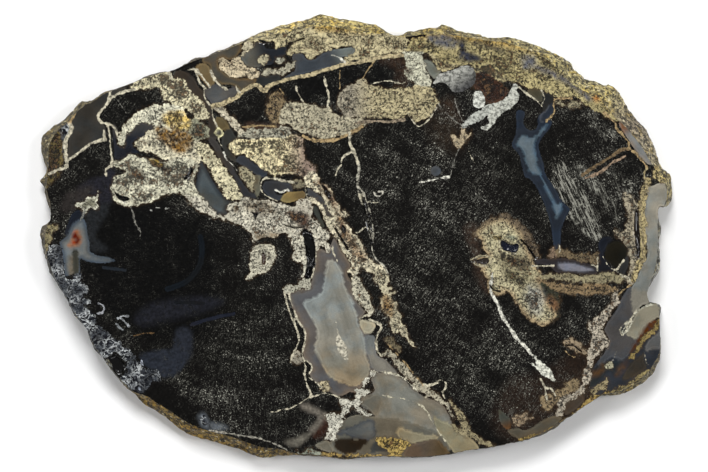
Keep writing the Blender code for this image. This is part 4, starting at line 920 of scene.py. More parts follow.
# Veins of the upper left.
vein(quartz, VEIN_CREAM, 0.58, (-55.2, 36.9), (-57.5, 36.3), (-59.5, 35.6), (-61.5, 34.2),
     (-62.9, 32.3), (-64.1, 30.8), (-64.4, 29.6), (-63.4, 28.5), (-61.8, 28.2), (-60.4, 27.5),
     (-59.6, 26), (-59.4, 24.4))
vein(quartz, VEIN_CREAM, 0.86, (-71.7, 28.5), (-71, 27.5), (-71.4, 25.5), (-72.4, 24.5),
     (-72.6, 22), (-72.2, 19.6), (-72.3, 17.5), (-74.5, 16.7), (-76.5, 15.7))
vein(quartz, VEIN_CREAM, 0.58, (-71.8, 19.2), (-70, 20.4), (-68.2, 21.7), (-66.4, 23.2),
     (-64.4, 23.9), (-62.4, 24.2))
vein(quartz, VEIN_CREAM, 0.5, (-62, 27.8), (-61.5, 26), (-61.3, 24), (-61.2, 21.8),
     (-60.9, 19.7), (-61, 17.8), (-62.4, 16.9), (-62.3, 15.3))
vein(quartz, VEIN_CREAM, 0.58, (-62.9, 26.5), (-62.8, 25.2), (-62.6, 24.3))
vein(quartz, VEIN_CREAM, 0.36, (-61.1, 36.7), (-61.5, 35.3), (-61.9, 33.9))
vein(quartz, VEIN_GREY, 0.14, (-59.5, 34.2), (-58.3, 32.4), (-57, 30.5))
vein(quartz, VEIN_GREY, 0.14, (-52.8, 35.6), (-52, 33.8))
vein(quartz, VEIN_TAN, 1.01, (-71.5, 28.8), (-70.2, 31), (-69.2, 33), (-68.5, 33.8))
vein(quartz, VEIN_CREAM, 0.58, (-46.9, 41.2), (-46.3, 40.4), (-45.9, 39.6))
vein(quartz, VEIN_GREY, 0.2, (-56.2, 7.6), (-55.6, 5.8), (-55.2, 4), (-54.4, 2.4),
     (-53.7, 1.2), (-53.9, 0.1))
vein(quartz, VEIN_CREAM, 0.5, (-41.8, 41.6), (-40.2, 41.9), (-39.2, 41.2), (-37.8, 39.2),
     (-36.3, 37.3))
vein(quartz, VEIN_CREAM, 0.43, (-40.2, 42), (-38.9, 38.4), (-37.3, 37.1))
vein(quartz, VEIN_CREAM, 0.5, (-36.2, 41.4), (-34.8, 38.7), (-32.2, 36.7))
vein(quartz, VEIN_CREAM, 0.29, (-35.8, 31.8), (-35.6, 29.8), (-34.9, 28), (-34.4, 26.9))
vein(quartz, VEIN_CREAM, 0.29, (-34.3, 24.8), (-34, 23.6), (-33.6, 22.8))
patch(quartz, (215, 208, 160), (-35.5, 26), (-34.2, 27.3), (-32.9, 26), (-34.2, 24.7),
      core=(90, 88, 80), core_at=0.9)

# Veins of the brown bar and of the cells under it.
vein(quartz, (178, 164, 128), 1.01, (-35.9, 32.6), (-33, 33.4), (-30, 34.8), (-28.2, 36.2),
     (-26, 37.6), (-24.8, 37.9), (-23.6, 36.9), (-22.6, 36.6), (-21.6, 37.8), (-19.6, 38.6),
     (-17, 39.3), (-14.5, 39.9), (-12, 40.3), (-9, 41.2), (-6, 42.1), (-3, 43), (0, 43.4),
     (2, 43.8), (6, 44.8), (11.5, 45.3))
vein(quartz, VEIN_CREAM, 0.32, (-37.9, 37), (-37.8, 35), (-36.6, 33))
vein(quartz, VEIN_CREAM, 0.32, (-30.2, 38.2), (-29.6, 36.8), (-28.8, 35.8))
vein(quartz, VEIN_TAN, 0.25, (-19, 37), (-17.8, 35.2))
vein(quartz, VEIN_CREAM, 0.36, (-15, 37.6), (-14.4, 35.8), (-13.2, 33.8))
vein(quartz, VEIN_CREAM, 0.36, (-8, 40.6), (-7.4, 37.6), (-6.8, 35.4), (-6.9, 33.6),
     (-7.2, 32.4))
vein(quartz, VEIN_TAN, 0.25, (-4, 41.4), (-4.1, 39), (-4, 37))
vein(quartz, VEIN_TAN, 0.22, (4.6, 43.7), (3, 41.8), (1.6, 39.4))
vein(quartz, VEIN_CREAM, 0.22, (3.2, 38), (6, 38.7), (8.6, 38.9), (11, 38.3), (12.4, 38.6))
vein(quartz, QUARTZ_WHITE, 0.25, (-6.1, 45.3), (-4.9, 45.1), (-3.4, 44.2), (-2.6, 43.3))
vein(quartz, QUARTZ_WHITE, 0.22, (-33, 21), (-32.4, 19.4), (-31.2, 18.4), (-30.4, 17.6),
     (-29.6, 16.6))
vein(quartz, VEIN_CREAM, 0.36, (-22, 14.6), (-20, 14.4), (-17.6, 14), (-15.4, 13.6))
vein(quartz, VEIN_CREAM, 0.25, (-22.4, 14.8), (-23.4, 14), (-23.8, 12.6), (-23.4, 11.2),
     (-22.2, 10.2), (-20.6, 9.4), (-19.4, 8.9))
vein(quartz, QUARTZ_WHITE, 0.29, (-20, 11.8), (-19, 11.2), (-18, 11.4), (-17, 11.8),
     (-16.8, 11.4))
vein(quartz, VEIN_CREAM, 0.22, (-12.6, 12.4), (-12.4, 10.4), (-11.8, 9.4))
vein(quartz, VEIN_CREAM, 0.25, (-5.8, -2.2), (-5.8, -3.4), (-5.2, -5), (-4.6, -6))
vein(quartz, VEIN_TAN, 0.79, (-13.2, 25.2), (-11, 24.2), (-8.4, 23.9), (-5.4, 24.3),
     (-2.6, 25.2), (-0.6, 26.4), (1.6, 27.6))
vein(quartz, (140, 126, 106), 0.7, (0, 28.4), (3, 28.8), (6, 28.9), (9, 28.8), (12, 29.2))
vein(quartz, VEIN_TAN, 0.5, (-28.4, 27.4), (-24, 27.8), (-20, 27.6))

# The long vein down the middle of the right wood, its companion, and the fine lines near it.
vein(quartz, VEIN_CREAM, 0.58, (-1.6, 26), (-1.6, 24), (-1.2, 22.6), (-0.6, 21.4), (0.2, 19.6),
     (0.6, 18))
vein(quartz, (178, 174, 158), 0.3, (0.6, 18), (0.5, 16), (0.2, 14.4), (0.3, 12.6), (0.7, 11),
     (1.4, 9), (2.4, 7), (2.9, 5), (3.1, 3), (3.5, 1), (3.9, -1), (4, -3), (4.6, -4.8),
     (5.4, -6), (6.6, -6.8), (7.4, -7.8), (8, -9))
vein(quartz, (150, 146, 132), 0.22, (0.9, 18.6), (0.8, 16), (0.6, 13.4), (1.2, 11.8), (2, 10.8),
     (2.4, 9.8), (2.8, 8.4), (3.4, 6.6), (3.9, 4.6), (4.1, 2.6), (4.3, 0.6), (4.3, -1.4))
patch(quartz, VEIN_CREAM, (0.4, 10.8), (1.7, 10.4), (1.5, 8.2), (0.8, 9.4))
vein(quartz, VEIN_CREAM, 0.25, (2.4, 9.4), (3.2, 8.8), (4.4, 8.6), (5.4, 8.6))
vein(quartz, (184, 180, 166), 0.28, (4.4, 11.2), (4.8, 10.4), (5.8, 10.2), (6.7, 10.8),
     (6.6, 11.4), (5.6, 11.3))
vein(quartz, VEIN_CREAM, 0.25, (-0.6, 21.6), (-2, 20.8), (-3.2, 20), (-3.7, 19),
     (-3.6, 18.2), (-4.4, 17), (-4.9, 15.8), (-5.1, 15.2))
vein(quartz, VEIN_CREAM, 0.32, (0, 1), (0.8, 1.2), (1.6, 2), (2.4, 2.4), (3.2, 2))
vein(quartz, QUARTZ_WHITE, 0.25, (15.8, 13.6), (17, 13.8), (19, 14.2), (21, 14.7),
     (22.4, 15), (23.4, 15.1))
vein(quartz, VEIN_GREY, 0.1, (23.6, 15.4), (24.2, 18), (25.2, 21), (26, 22.4))
vein(quartz, VEIN_GREY, 0.1, (17, 6.8), (19.6, 10), (22.6, 14.4))
vein(quartz, VEIN_CREAM, 0.22, (28.2, 21.4), (28.6, 20.2), (29, 19.4), (29.7, 18.3))
vein(quartz, VEIN_CREAM, 0.17, (12.9, 30.8), (13.8, 29.4), (15.4, 27.6), (16.6, 28),
     (18, 29.2), (19.4, 31), (20.6, 33.4))
vein(quartz, VEIN_GREY, 0.14, (24.6, 34.4), (25.4, 31.6), (26.6, 29))
vein(quartz, VEIN_GREY, 0.14, (20.6, 33.2), (22.2, 31.2), (25.4, 28.4), (26.8, 28))

# Veins of the upper right.
vein(quartz, VEIN_CREAM, 0.36, (40.5, 37.6), (42.4, 35.8), (44.8, 34.2), (46.4, 32.6))
vein(quartz, VEIN_CREAM, 0.29, (46.2, 36.6), (46.8, 35.4), (47.1, 34.6), (46.4, 33.2))
vein(quartz, VEIN_TAN, 0.36, (54, 34.6), (51.2, 34.6), (49.9, 34.4), (49.3, 33.4),
     (49.5, 31.4), (49, 30.4), (47.8, 29.2), (47.4, 28.6))
vein(quartz, (110, 92, 66), 0.72, (56.6, 15.4), (60, 18), (63, 19.6), (66, 21.6), (68, 22))
vein(quartz, (150, 128, 106), 0.58, (57, 14.6), (61, 16.2), (64.2, 18.8), (66, 19.6),
     (67.4, 20.4))
vein(quartz, VEIN_TAN, 0.5, (61.8, 31), (63.4, 29.6), (64.6, 28.4), (65.2, 26.8),
     (66.6, 25.4), (68, 23.6), (68.2, 22.2), (69.6, 21), (71, 19.4), (72, 18.2),
     (72.6, 17.2))

# Veins of the right rim and of the bands that reach it.
vein(quartz, (176, 174, 156), 0.3, (66.2, -24.3), (67.2, -22.2), (69.3, -19.4), (72, -17.4),
     (74.8, -16.7), (76.3, -17.2))
vein(quartz, (176, 174, 156), 0.3, (66.3, -24.4), (67.6, -23.6), (68.9, -21.2))
vein(quartz, (158, 144, 108), 0.6, (72.6, 17), (71.8, 15.6), (72.6, 12.2), (71.4, 10.8),
     (71, 9), (70.8, 6), (70.9, 3), (71.6, 0.6), (71.6, -1.6), (71.4, -3.6), (72.2, -5.2),
     (71.2, -6.4))
vein(quartz, VEIN_CREAM, 0.18, (61.6, -4.9), (62.2, -6), (63.2, -7.4), (64.4, -8.2),
     (65, -8.4))
vein(quartz, VEIN_CREAM, 0.22, (66.8, -5.8), (65.8, -7), (65, -8.4))
vein(quartz, VEIN_CREAM, 0.29, (65, -8.6), (66, -9.4), (66.6, -9.9), (67.8, -9.8),
     (68.6, -11.4))
vein(quartz, VEIN_CREAM, 0.18, (50.7, -2), (50.9, -3.4), (50.6, -4))
vein(quartz, VEIN_CREAM, 0.18, (60.4, -4.4), (60.3, -6.8), (60.4, -8.6))
vein(quartz, VEIN_CREAM, 0.18, (58.8, -6.9), (59.8, -7.4), (60.2, -8.4))
vein(quartz, VEIN_CREAM, 0.32, (44, -7.2), (46.4, -7.2), (49.2, -7.2))
vein(quartz, VEIN_TAN, 0.22, (68.6, -12), (66, -13.8), (65, -15))
vein(quartz, VEIN_TAN, 0.22, (51.8, -28), (53.2, -29.4), (54.6, -30))
vein(quartz, VEIN_CREAM, 0.36, (46.2, -35.6), (47, -37.4), (47.4, -39.2), (47.6, -40.6))
vein(quartz, VEIN_CREAM, 0.43, (47.2, -37.8), (48.2, -37.6), (49.2, -38.6), (49.8, -39.6))
vein(quartz, VEIN_CREAM, 0.22, (70.4, -17.6), (69.2, -19.4), (68, -20.8), (66.6, -22),
     (65.8, -23), (66, -24), (66.6, -24.5), (67.2, -23.6), (67.6, -22.2), (68.8, -20.6))
vein(quartz, VEIN_CREAM, 0.14, (71.8, -28.6), (72.2, -30), (72.4, -31.4), (73, -31.8))
vein(quartz, VEIN_GREY, 0.29, (65, -28.6), (64.4, -30), (64, -30.8))

# Veins that line the left crack and fan out from its foot.
vein(quartz, (150, 154, 156), 0.5, (-59.3, -20.4), (-58.2, -19.7), (-56.9, -19.8))
vein(quartz, (150, 154, 156), 0.5, (-58.4, -20.4), (-57.4, -21.4), (-56.6, -22.4))
vein(quartz, (120, 124, 126), 0.4, (-59.8, -21.6), (-59, -22.6), (-57.8, -23.4))
vein(quartz, (96, 74, 46), 0.25, (-55.3, -24.6), (-53, -24), (-50.3, -24))
vein(quartz, (150, 146, 134), 0.3, (-37, -48.2), (-33, -48.8), (-29.5, -49.4), (-25.4, -50),
     (-21.2, -51.2), (-17, -53.2))
vein(quartz, VEIN_CREAM, 0.4, (-18, -13.6), (-17.6, -15), (-17, -17.4), (-16.2, -19.6),
     (-15.2, -22), (-14.4, -24), (-14.2, -25.6), (-14.8, -27.4), (-15.6, -29),
     (-16.2, -30.4), (-16.2, -31.6))
vein(quartz, VEIN_CREAM, 0.36, (-16.8, -14), (-16.2, -16), (-15.4, -18.4), (-14.6, -20.6),
     (-13.6, -22), (-12.7, -23.6), (-12.6, -25), (-13, -27), (-13.4, -29), (-13.2, -30),
     (-12.6, -31))
vein(quartz, VEIN_CREAM, 0.36, (-13, -31.2), (-12.6, -32.4), (-12.8, -34), (-12.5, -35.6),
     (-12.2, -37), (-11.4, -38.6), (-11, -39.8))
vein(quartz, VEIN_CREAM, 0.22, (-12.2, -31), (-11.2, -31.8), (-10.9, -32.8), (-11.6, -34),
     (-11.8, -35))
vein(quartz, VEIN_CREAM, 0.29, (-11.8, -35), (-10.6, -35.8), (-9.4, -36.8), (-8.6, -37.6))
vein(quartz, VEIN_CREAM, 0.25, (-21.2, -43.6), (-20, -43.6), (-18.6, -43), (-16.6, -42.8),
     (-15, -42), (-13.8, -41.4), (-12.8, -40.6), (-11.4, -40), (-9.8, -39.6), (-8, -38.9),
     (-6.6, -39.2), (-5.2, -39.6), (-4, -40.2))
vein(quartz, VEIN_CREAM, 0.18, (-10.2, -2), (-10, -4), (-10, -6.4), (-10.6, -8.6),
     (-11.1, -10.4))
vein(quartz, VEIN_CREAM, 0.43, (0.9, -20.4), (1.8, -20), (3, -19.2))
vein(quartz, VEIN_CREAM, 0.43, (3.4, -20.6), (5, -21.2), (6.4, -22.4), (5.6, -24),
     (5, -25.6), (5, -27.2), (5.6, -28.8), (6.4, -29.6))
vein(quartz, VEIN_CREAM, 0.29, (4.8, -33.5), (7.4, -33.6), (9.8, -34.1), (12, -35.2))
vein(quartz, VEIN_TAN, 0.25, (8, -26.6), (10, -29), (12.2, -31.4), (14, -33.6),
     (15.6, -35.6), (16.8, -37))
vein(quartz, VEIN_CREAM, 0.4, (16.8, -36.8), (18.4, -37), (20, -36.4), (21.2, -35.6), (22.2, -36.2),
     (22.4, -37.6), (21.6, -38.8), (22.2, -40.4))
vein(quartz, (206, 200, 178), 0.32, (3.9, -33.4), (7, -33.9), (10.4, -34.5), (13.2, -36.4), (15.4, -38.6))
vein(quartz, (188, 182, 158), 0.3, (12.8, -40.6), (15.6, -41.6), (17.6, -43.4), (19, -46), (20.6, -48.6),
     (22.4, -51))
vein(quartz, (188, 182, 158), 0.25, (6.4, -39.4), (9, -40), (11.4, -40.2), (12.8, -40.6))

vein(quartz, (172, 162, 134), 0.4, (28.6, -5.8), (30.6, -4.8), (32.8, -4.8), (33.8, -5.9), (32.6, -7.1),
     (30.4, -7), (28.8, -6))
vein(quartz, (112, 112, 106), 0.35, (-67.6, 6.6), (-68.2, 5.2), (-69, 3.6))
vein(quartz, (150, 152, 156), 0.4, (-64.2, -16.6), (-63.2, -16.9), (-62.8, -17.9), (-63.4, -18.9),
     (-64.6, -19))
vein(quartz, (150, 156, 166), 0.45, (-53.4, -31), (-53.1, -32))
vein(quartz, (150, 156, 166), 0.4, (-54.2, -37.6), (-53.6, -38.3))
vein(quartz, (168, 168, 160), 0.3, (-49.8, 7.4), (-48.9, 7.3))
vein(quartz, (168, 168, 160), 0.25, (-47.4, 7.1), (-46.7, 7.2))
vein(quartz, (150, 150, 144), 0.25, (-51.2, 6.6), (-50.7, 6.4))

# Gaps
# Open joints and holes in the stone, too thin or too shallow for the plain solid. They are
# painted nearly black on the face, as painted shade inside them, and the mesh dips along them.

gaps = []
patch(gaps, COAL_AND_GAP_SHADE, (-13.4, 1.8), (-12.2, 1.8), (-10.8, 0.2), (-10.1, -2.4), (-10.2, -5.4),
      (-11, -8.2), (-11.8, -10.5), (-12.7, -10), (-12.3, -6.4), (-12.7, -2.6))
patch(gaps, COAL_AND_GAP_SHADE, (-26.2, 6.4), (-25, 5.9), (-24.2, 6), (-24.8, 5), (-25.2, 4.2), (-25.5, 5.2))
patch(gaps, (24, 18, 14), (-8.8, 13), (-7.8, 12.8), (-6.9, 11.6), (-6.2, 10.2), (-6.6, 9.4),
      (-7.5, 10.4), (-8.1, 11.8))
patch(gaps, (24, 18, 14), (-3.6, 3), (-2.8, 2.6), (-2.4, 1.4), (-3, 0.8), (-3.7, 1.8))
vein(gaps, (20, 16, 14), 0.55, (-5.2, 2), (-4, 0.2), (-3, -1.4), (-2, -3))
# Painted shadow: this dark line stands for the shade along the side of the long vein. The face dips along it too.
vein(gaps, COAL_AND_GAP_SHADE, 0.35, (1.5, 10), (2, 7.6), (2.9, 4.6), (3.5, 1.4), (3.9, -1.4))
vein(gaps, (30, 22, 16), 0.3, (-17.6, 2.9), (-15.4, 2.3), (-13.4, 2.4))
patch(gaps, (20, 16, 13), (69.6, 6.6), (70.4, 6.2), (70.6, 2), (70.9, -1.6), (70.9, -4.4),
      (70.2, -5.4), (69.8, -2), (69.5, 2))
patch(gaps, COAL_AND_GAP_SHADE, (-60, 11.6), (-59.4, 10.8), (-58, 10.2), (-56.6, 10), (-56.4, 9.4),
      (-57.6, 8.9), (-59, 9.3), (-59.9, 10.3))
patch(gaps, COAL_AND_GAP_SHADE, (-41, 17.6), (-40.7, 16.4), (-41.8, 14.9), (-43.4, 13.6), (-42.8, 14.8),
      (-41.9, 16))
patch(gaps, COAL_AND_GAP_SHADE, (-62, -30.2), (-60, -29.6), (-58.6, -30.6), (-57.6, -32.4), (-59, -34),
      (-60.8, -33), (-62.2, -31.6))
patch(gaps, (18, 22, 36), (36.2, -0.8), (36.9, -0.9), (38, -1.6), (39, -1.9), (40.2, -1.7),
      (40.7, -2.4), (40.3, -3.4), (39.6, -3.9), (38.2, -3.6), (37, -3.4), (36.4, -2.8),
      (36, -1.8))
patch(gaps, (48, 42, 38), (29.6, -5.9), (31.2, -5.4), (32.8, -5.2), (33.2, -5.8),
      (32.9, -6.6), (32, -6.9), (30.6, -6.6))
vein(gaps, COAL_AND_GAP_SHADE, 0.5, (41.2, -0.8), (42.4, -1.9), (43.6, -3.6), (44.8, -5.2))
vein(gaps, (30, 24, 16), 0.3, (-17, 48.2), (-15, 48.8), (-13, 49.6))
patch(gaps, (60, 42, 28), (-23.5, -3.8), (-22.9, -4), (-22.5, -5.4), (-22.7, -7),
      (-23.4, -7), (-23.5, -5.4))
vein(gaps, COAL_AND_GAP_SHADE, 0.6, (-24, 49), (-22.6, 48.6))
vein(gaps, COAL_AND_GAP_SHADE, 0.4, (33.4, -12), (34.4, -13.2), (36, -13.6))
vein(gaps, COAL_AND_GAP_SHADE, 0.3, (52.4, -27), (54.4, -27.2), (56.4, -28.8))

# Polished face and sawn back
# The saw leaves both faces flat. Grit and then oxide polish the upper one until it shines. Each
# face is a triangle mesh that ends on the wall's own edge. It is finer where the pattern changes,
# so that every seam and vein is sharp, and it carries the depth and colour of each layer.

FINE = 0.40  # spacing of the points where the pattern changes, in millimetres
CHANGE_REACH = 0.75  # how far from a seam the fine points go on
SEAM_REACH = 0.6  # and from a seam between two patches of agate
VEIN_STEP = 0.34
ELBOW_ROOM = 0.25  # no point of the mesh is closer than this to one on a vein
EDGE_ROOM = 0.3
GAP_DIP = 0.7 * MM
PIT_DIP = 0.16 * MM
PIT_WIDTH = 0.8


def edge_loop(is_top):
    """The corners along one side's open edges, as indices, and the edges between them."""
    order = {}
    edges = []
    for edge in wall.edges:
        if edge.is_boundary and (edge.verts[0].co.z > face_height / 2) == is_top:
            ends = [order.setdefault(corner.index, len(order)) for corner in edge.verts]
            edges.append(ends)
    return list(order), edges


def centre_points(layer):
    """Points along the middle of each thin line, so that the mesh doesn't miss it."""
    points = []
    for shape in layer:
        if not shape["closed"]:
            for (ax, ay), (bx, by) in zip(shape["line"], shape["line"][1:]):
                count = max(1, round(math.dist((ax, ay), (bx, by)) / VEIN_STEP))
                for i in range(count):
                    points.append((ax + (bx - ax) * i / count, ay + (by - ay) * i / count))
    return points


def spread_out(points, kept, room):
    """The points that are no closer than room to a kept one."""
    tree = kdtree.KDTree(len(kept))
    for i, (x, y) in enumerate(kept):
        tree.insert((x, y, 0), i)
    tree.balance()
    return [(x, y) for x, y in points if tree.find((x, y, 0))[2] > room]


def thinned(points, room):
    """The points with those left out that share a square of room with an earlier one."""
    seen = {}
    for x, y in points:
        seen.setdefault((round(x / room), round(y / room)), (x, y))
    return list(seen.values())


wall_places = np.array([corner.co[:2] for corner in wall.verts]) / MM
top_loop, top_edges = edge_loop(True)
back_loop, back_edges = edge_loop(False)
edge_places = [tuple(wall_places[i]) for i in top_loop]

half_length = high_corner[0] / MM
half_width = high_corner[1] / MM
row_height = FINE * math.sqrt(3) / 2
lattice = []
coarse = []
for row in range(-round(half_width / row_height), round(half_width / row_height) + 1):
    for column in range(-round(half_length / FINE), round(half_length / FINE) + 1):
        place = ((column + row % 2 / 2) * FINE, row * row_height)
        if math.hypot(place[0] / half_length, place[1] / half_width) < 1.2:
            lattice.append(place)
            coarse.append(row % 4 == 0 and column % 2 == 0 or row % 4 == 2 and column % 2 == 1)

vein_places = thinned(centre_points(quartz) + centre_points(gaps) + centre_points(agate),
                      VEIN_STEP * 0.8)
vein_places = spread_out(vein_places, edge_places, ELBOW_ROOM)
places = np.array(lattice + vein_places)
layers = {"agate": agate, "crust": crust, "crystal": crystals, "quartz": quartz, "gap": gaps}
bases = {"agate": SLATE, "crust": CREAM, "crystal": SLATE, "quartz": VEIN_CREAM, "gap": COAL_AND_GAP_SHADE}
all_places = np.vstack([places, wall_places])
wood_look = measure(wood, all_places, SPECKS, BLACK_WOOD)
looks = {
    name: measure(layer, all_places, PITS if name == "crust" else BANDED, bases[name])
    for name, layer in layers.items()
}
changing = np.zeros(len(places), bool)
for depth, *_ in looks.values():
    changing |= np.abs(depth[:len(places)]) < CHANGE_REACH
changing |= np.abs(looks["agate"][3][:len(places)]) < SEAM_REACH

blocked = kdtree.KDTree(len(vein_places) + len(edge_places))
for i, (x, y) in enumerate(vein_places + edge_places):
    blocked.insert((x, y, 0), i)
blocked.balance()


def fill_side(loop, edges, chosen):
    """Triangles between the wall's edge and the chosen places.

    Corners below len(wall.verts) are the wall's, and the others count on through places.
    """
    own = [Vector(wall_places[i]) for i in loop]
    points = own + [Vector(places[i]) for i in chosen]
    found = geometry.delaunay_2d_cdt(points, edges, [], 2, 1e-7)
    sources = []
    for origin in found[3]:
        first = min(origin)
        if first < len(loop):
            sources.append(loop[first])
        else:
            sources.append(len(wall.verts) + int(chosen[first - len(loop)]))
    return [[sources[corner] for corner in triangle] for triangle in found[2]]


free = np.array([blocked.find((x, y, 0))[2] > ELBOW_ROOM for x, y in lattice])
coarse = np.array(coarse)
on_lattice = np.arange(len(lattice))
top_chosen = list(on_lattice[free & (changing[:len(lattice)] | coarse)])
top_chosen += range(len(lattice), len(places))
edge_tree = kdtree.KDTree(len(back_loop))
for i in back_loop:
    edge_tree.insert((wall_places[i][0], wall_places[i][1], 0), i)
edge_tree.balance()
back_chosen = [
    i for i in on_lattice[coarse] if edge_tree.find((*lattice[i], 0))[2] > EDGE_ROOM
]
top_faces = fill_side(top_loop, top_edges, top_chosen)
back_faces = fill_side(back_loop, back_edges, back_chosen)

# The rind's colours round the rim: (bearing in degrees, anticlockwise from +X, and colour).
RIND_COLOURS = [
    (-180, (84, 74, 54)), (-174, (90, 92, 92)), (-160, (88, 90, 94)), (-150, (84, 84, 80)),
    (-142, (140, 114, 52)), (-120, (130, 106, 50)), (-100, (110, 92, 50)), (-80, (74, 66, 46)),
    (-66, (68, 60, 44)), (-48, (70, 62, 46)), (-36, (96, 84, 56)), (-28, (140, 126, 84)),
    (-22, (112, 102, 84)), (-12, (130, 129, 123)), (4, (140, 138, 130)), (11, (164, 148, 96)),
    (15, (140, 130, 108)), (22, (132, 120, 102)), (30, (158, 146, 104)), (45, (150, 138, 96)), (60, (148, 134, 92)),
    (78, (146, 132, 84)), (96, (172, 154, 96)), (112, (168, 154, 112)), (124, (104, 96, 78)),
    (140, (76, 68, 56)), (154, (104, 94, 66)), (170, (98, 86, 58)), (180, (84, 74, 54)),
]
LEFT_PITH = (-24, -3)  # the rays of the left wood run out from here, in millimetres
RAY_ARC = 26  # one radian round the pith counts as this much width of grain
GRAIN_RUN = (0.55, 0.83)  # the way the grain runs across the right wood
FAR_RUN = (-0.39, 0.92)  # and across the wood beyond the blue streak
LEFT_WOOD = (-9, 12)  # the left wood lies left of and below this corner
FAR_WOOD = (47.5, -10)  # and the far wood right of and above this one


def grain_at(spots):
    """Across and along the grain at each place, in millimetres."""
    x, y = spots.T
    far = (x > FAR_WOOD[0]) & (y > FAR_WOOD[1])
    run_x, run_y = np.where(far, np.array(FAR_RUN)[:, None], np.array(GRAIN_RUN)[:, None])
    from_x, from_y = x - LEFT_PITH[0], y - LEFT_PITH[1]
    left = (x < LEFT_WOOD[0]) & (y < LEFT_WOOD[1])
    across = np.where(left, np.arctan2(from_x, -from_y) * RAY_ARC, x * run_y - y * run_x)
    along = np.where(left, np.hypot(from_x, from_y), x * run_x + y * run_y)
    return np.stack([across, along, np.zeros(len(x))], axis=1)


def rind_colour_at(spots):
    bearing = np.degrees(np.arctan2(spots[:, 1], spots[:, 0]))
    stops = [stop for stop, _ in RIND_COLOURS]
    tones = linear([tone for _, tone in RIND_COLOURS])
    return np.stack([np.interp(bearing, stops, tones[:, i]) for i in range(3)], axis=1)


def side_corners(faces):
    """The places that a side's triangles use beside the wall's corners, in order."""
    return sorted({corner for face in faces for corner in face if corner >= len(wall.verts)})


def height_of_face(index):
    """The polished face's height at a place: it dips in gaps and in the crust's pits."""
    x, y = places[index]
    gap = soft_step(-0.1, 0.25, looks["gap"][0][index]) * GAP_DIP
    rough = max(0.0, noise.noise((x / PIT_WIDTH, y / PIT_WIDTH, 0))) * PIT_DIP
    pitted = soft_step(0.1, 0.6, looks["crust"][0][index]) * rough
    return face_height - float(gap) - float(pitted)


top_corners = side_corners(top_faces)
back_corners = side_corners(back_faces)
top_start = len(wall.verts)
back_start = top_start + len(top_corners)
top_number = {corner: top_start + i for i, corner in enumerate(top_corners)}
back_number = {corner: back_start + i for i, corner in enumerate(back_corners)}
spots = [tuple(corner.co) for corner in wall.verts]
origins = [len(places) + i for i in range(len(wall.verts))]
for corner in top_corners:
    index = corner - len(wall.verts)
    spots.append((places[index][0] * MM, places[index][1] * MM, height_of_face(index)))
    origins.append(index)
for corner in back_corners:
    index = corner - len(wall.verts)
    spots.append((places[index][0] * MM, places[index][1] * MM, 0.0))
    origins.append(index)

POLISHED, RIND, SAWN, CLEFT_WALL = range(4)

# The rind is all of the wall that joins the back, because a cleft's walls stop above it.
wall.verts.ensure_lookup_table()
rind_faces = set()
waiting = [wall.verts[back_loop[0]]]
while waiting:
    for face in waiting.pop().link_faces:
        if face not in rind_faces:
            rind_faces.add(face)
            waiting.extend(face.verts)

triangles = [[corner.index for corner in face.verts] for face in wall.faces]
kinds = [RIND if face in rind_faces else CLEFT_WALL for face in wall.faces]
for face in top_faces:
    triangles.append([top_number.get(corner, corner) for corner in face])
    kinds.append(POLISHED)
for face in back_faces:
    triangles.append([back_number.get(corner, corner) for corner in reversed(face)])
    kinds.append(SAWN)

slice_mesh = bpy.data.meshes.new("slice")
slice_mesh.from_pydata(spots, [], triangles)
slice_mesh.polygons.foreach_set("material_index", kinds)
slice_mesh.shade_smooth()
slice_mesh.set_sharp_from_angle(angle=math.radians(42))


def store(name, kind, values):
    """Keeps an attribute of each corner on the mesh."""
    layer = slice_mesh.attributes.new(name, kind, "POINT")
    field = {"FLOAT": "value", "FLOAT_VECTOR": "vector", "FLOAT_COLOR": "color"}[kind]
    layer.data.foreach_set(field, np.ascontiguousarray(values[origins], np.float32).ravel())


def with_number(tones, numbers):
    return np.hstack([tones, numbers[:, None]])


store("grain", "FLOAT_VECTOR", grain_at(all_places))
store("wood_colour", "FLOAT_COLOR", with_number(wood_look[1], wood_look[2]))
store("rind_colour", "FLOAT_COLOR", with_number(rind_colour_at(all_places), wood_look[2]))
for name, (depth, tones, numbers, own_depth) in looks.items():
    store(name + "_depth", "FLOAT", depth)
    store(name + "_colour", "FLOAT_COLOR", with_number(tones, numbers))
store("band_depth", "FLOAT", looks["agate"][3])

slice_piece = bpy.data.objects.new("slice", slice_mesh)
bpy.context.scene.collection.objects.link(slice_piece)
wall.free()

# Stone
# Silica all through. The polish leaves agate like glass and the dense wood nearly so, while the
# porous crust stays dull. One node group lays the layers over each other, and the polished face
# and the sawn back read it. The rough rind and the cleft walls have looks of their own.

PER_MM = 1 / MM
RAGGED = 1.9  # waves a millimetre of the noise that frays most seams
BROKEN = 0.6  # and of the coarser one that breaks the crust's edge
FRAY = {"agate": 0.8, "crystal": 2.4, "crust": 3.6, "quartz": 1.6, "gap": 0.7}
HALO = 0.7  # how far the crust stains what lies beside it, in millimetres
HALO_BROWN = (70, 55, 38)
WARM_HUE = (1.07, 1.0, 0.93, 1.0)  # what the agate's colour drifts between
COOL_HUE = (0.94, 1.0, 1.07, 1.0)
SEAM = 0.06  # half the width over which one layer gives way to the next


def node(tree, kind, inputs, **settings):
    """Adds a shader node. Inputs are values or sockets by name or number."""
    new = tree.nodes.new("ShaderNode" + kind)
    for name, value in settings.items():
        setattr(new, name, value)
    for name, value in inputs.items():
        if isinstance(value, bpy.types.NodeSocket):
            tree.links.new(value, new.inputs[name])
        else:
            new.inputs[name].default_value = value
    return new


def calculate(tree, operation, first, second=0.0, third=0.0):
    inputs = {0: first, 1: second, 2: third}
    return node(tree, "Math", inputs, operation=operation).outputs[0]


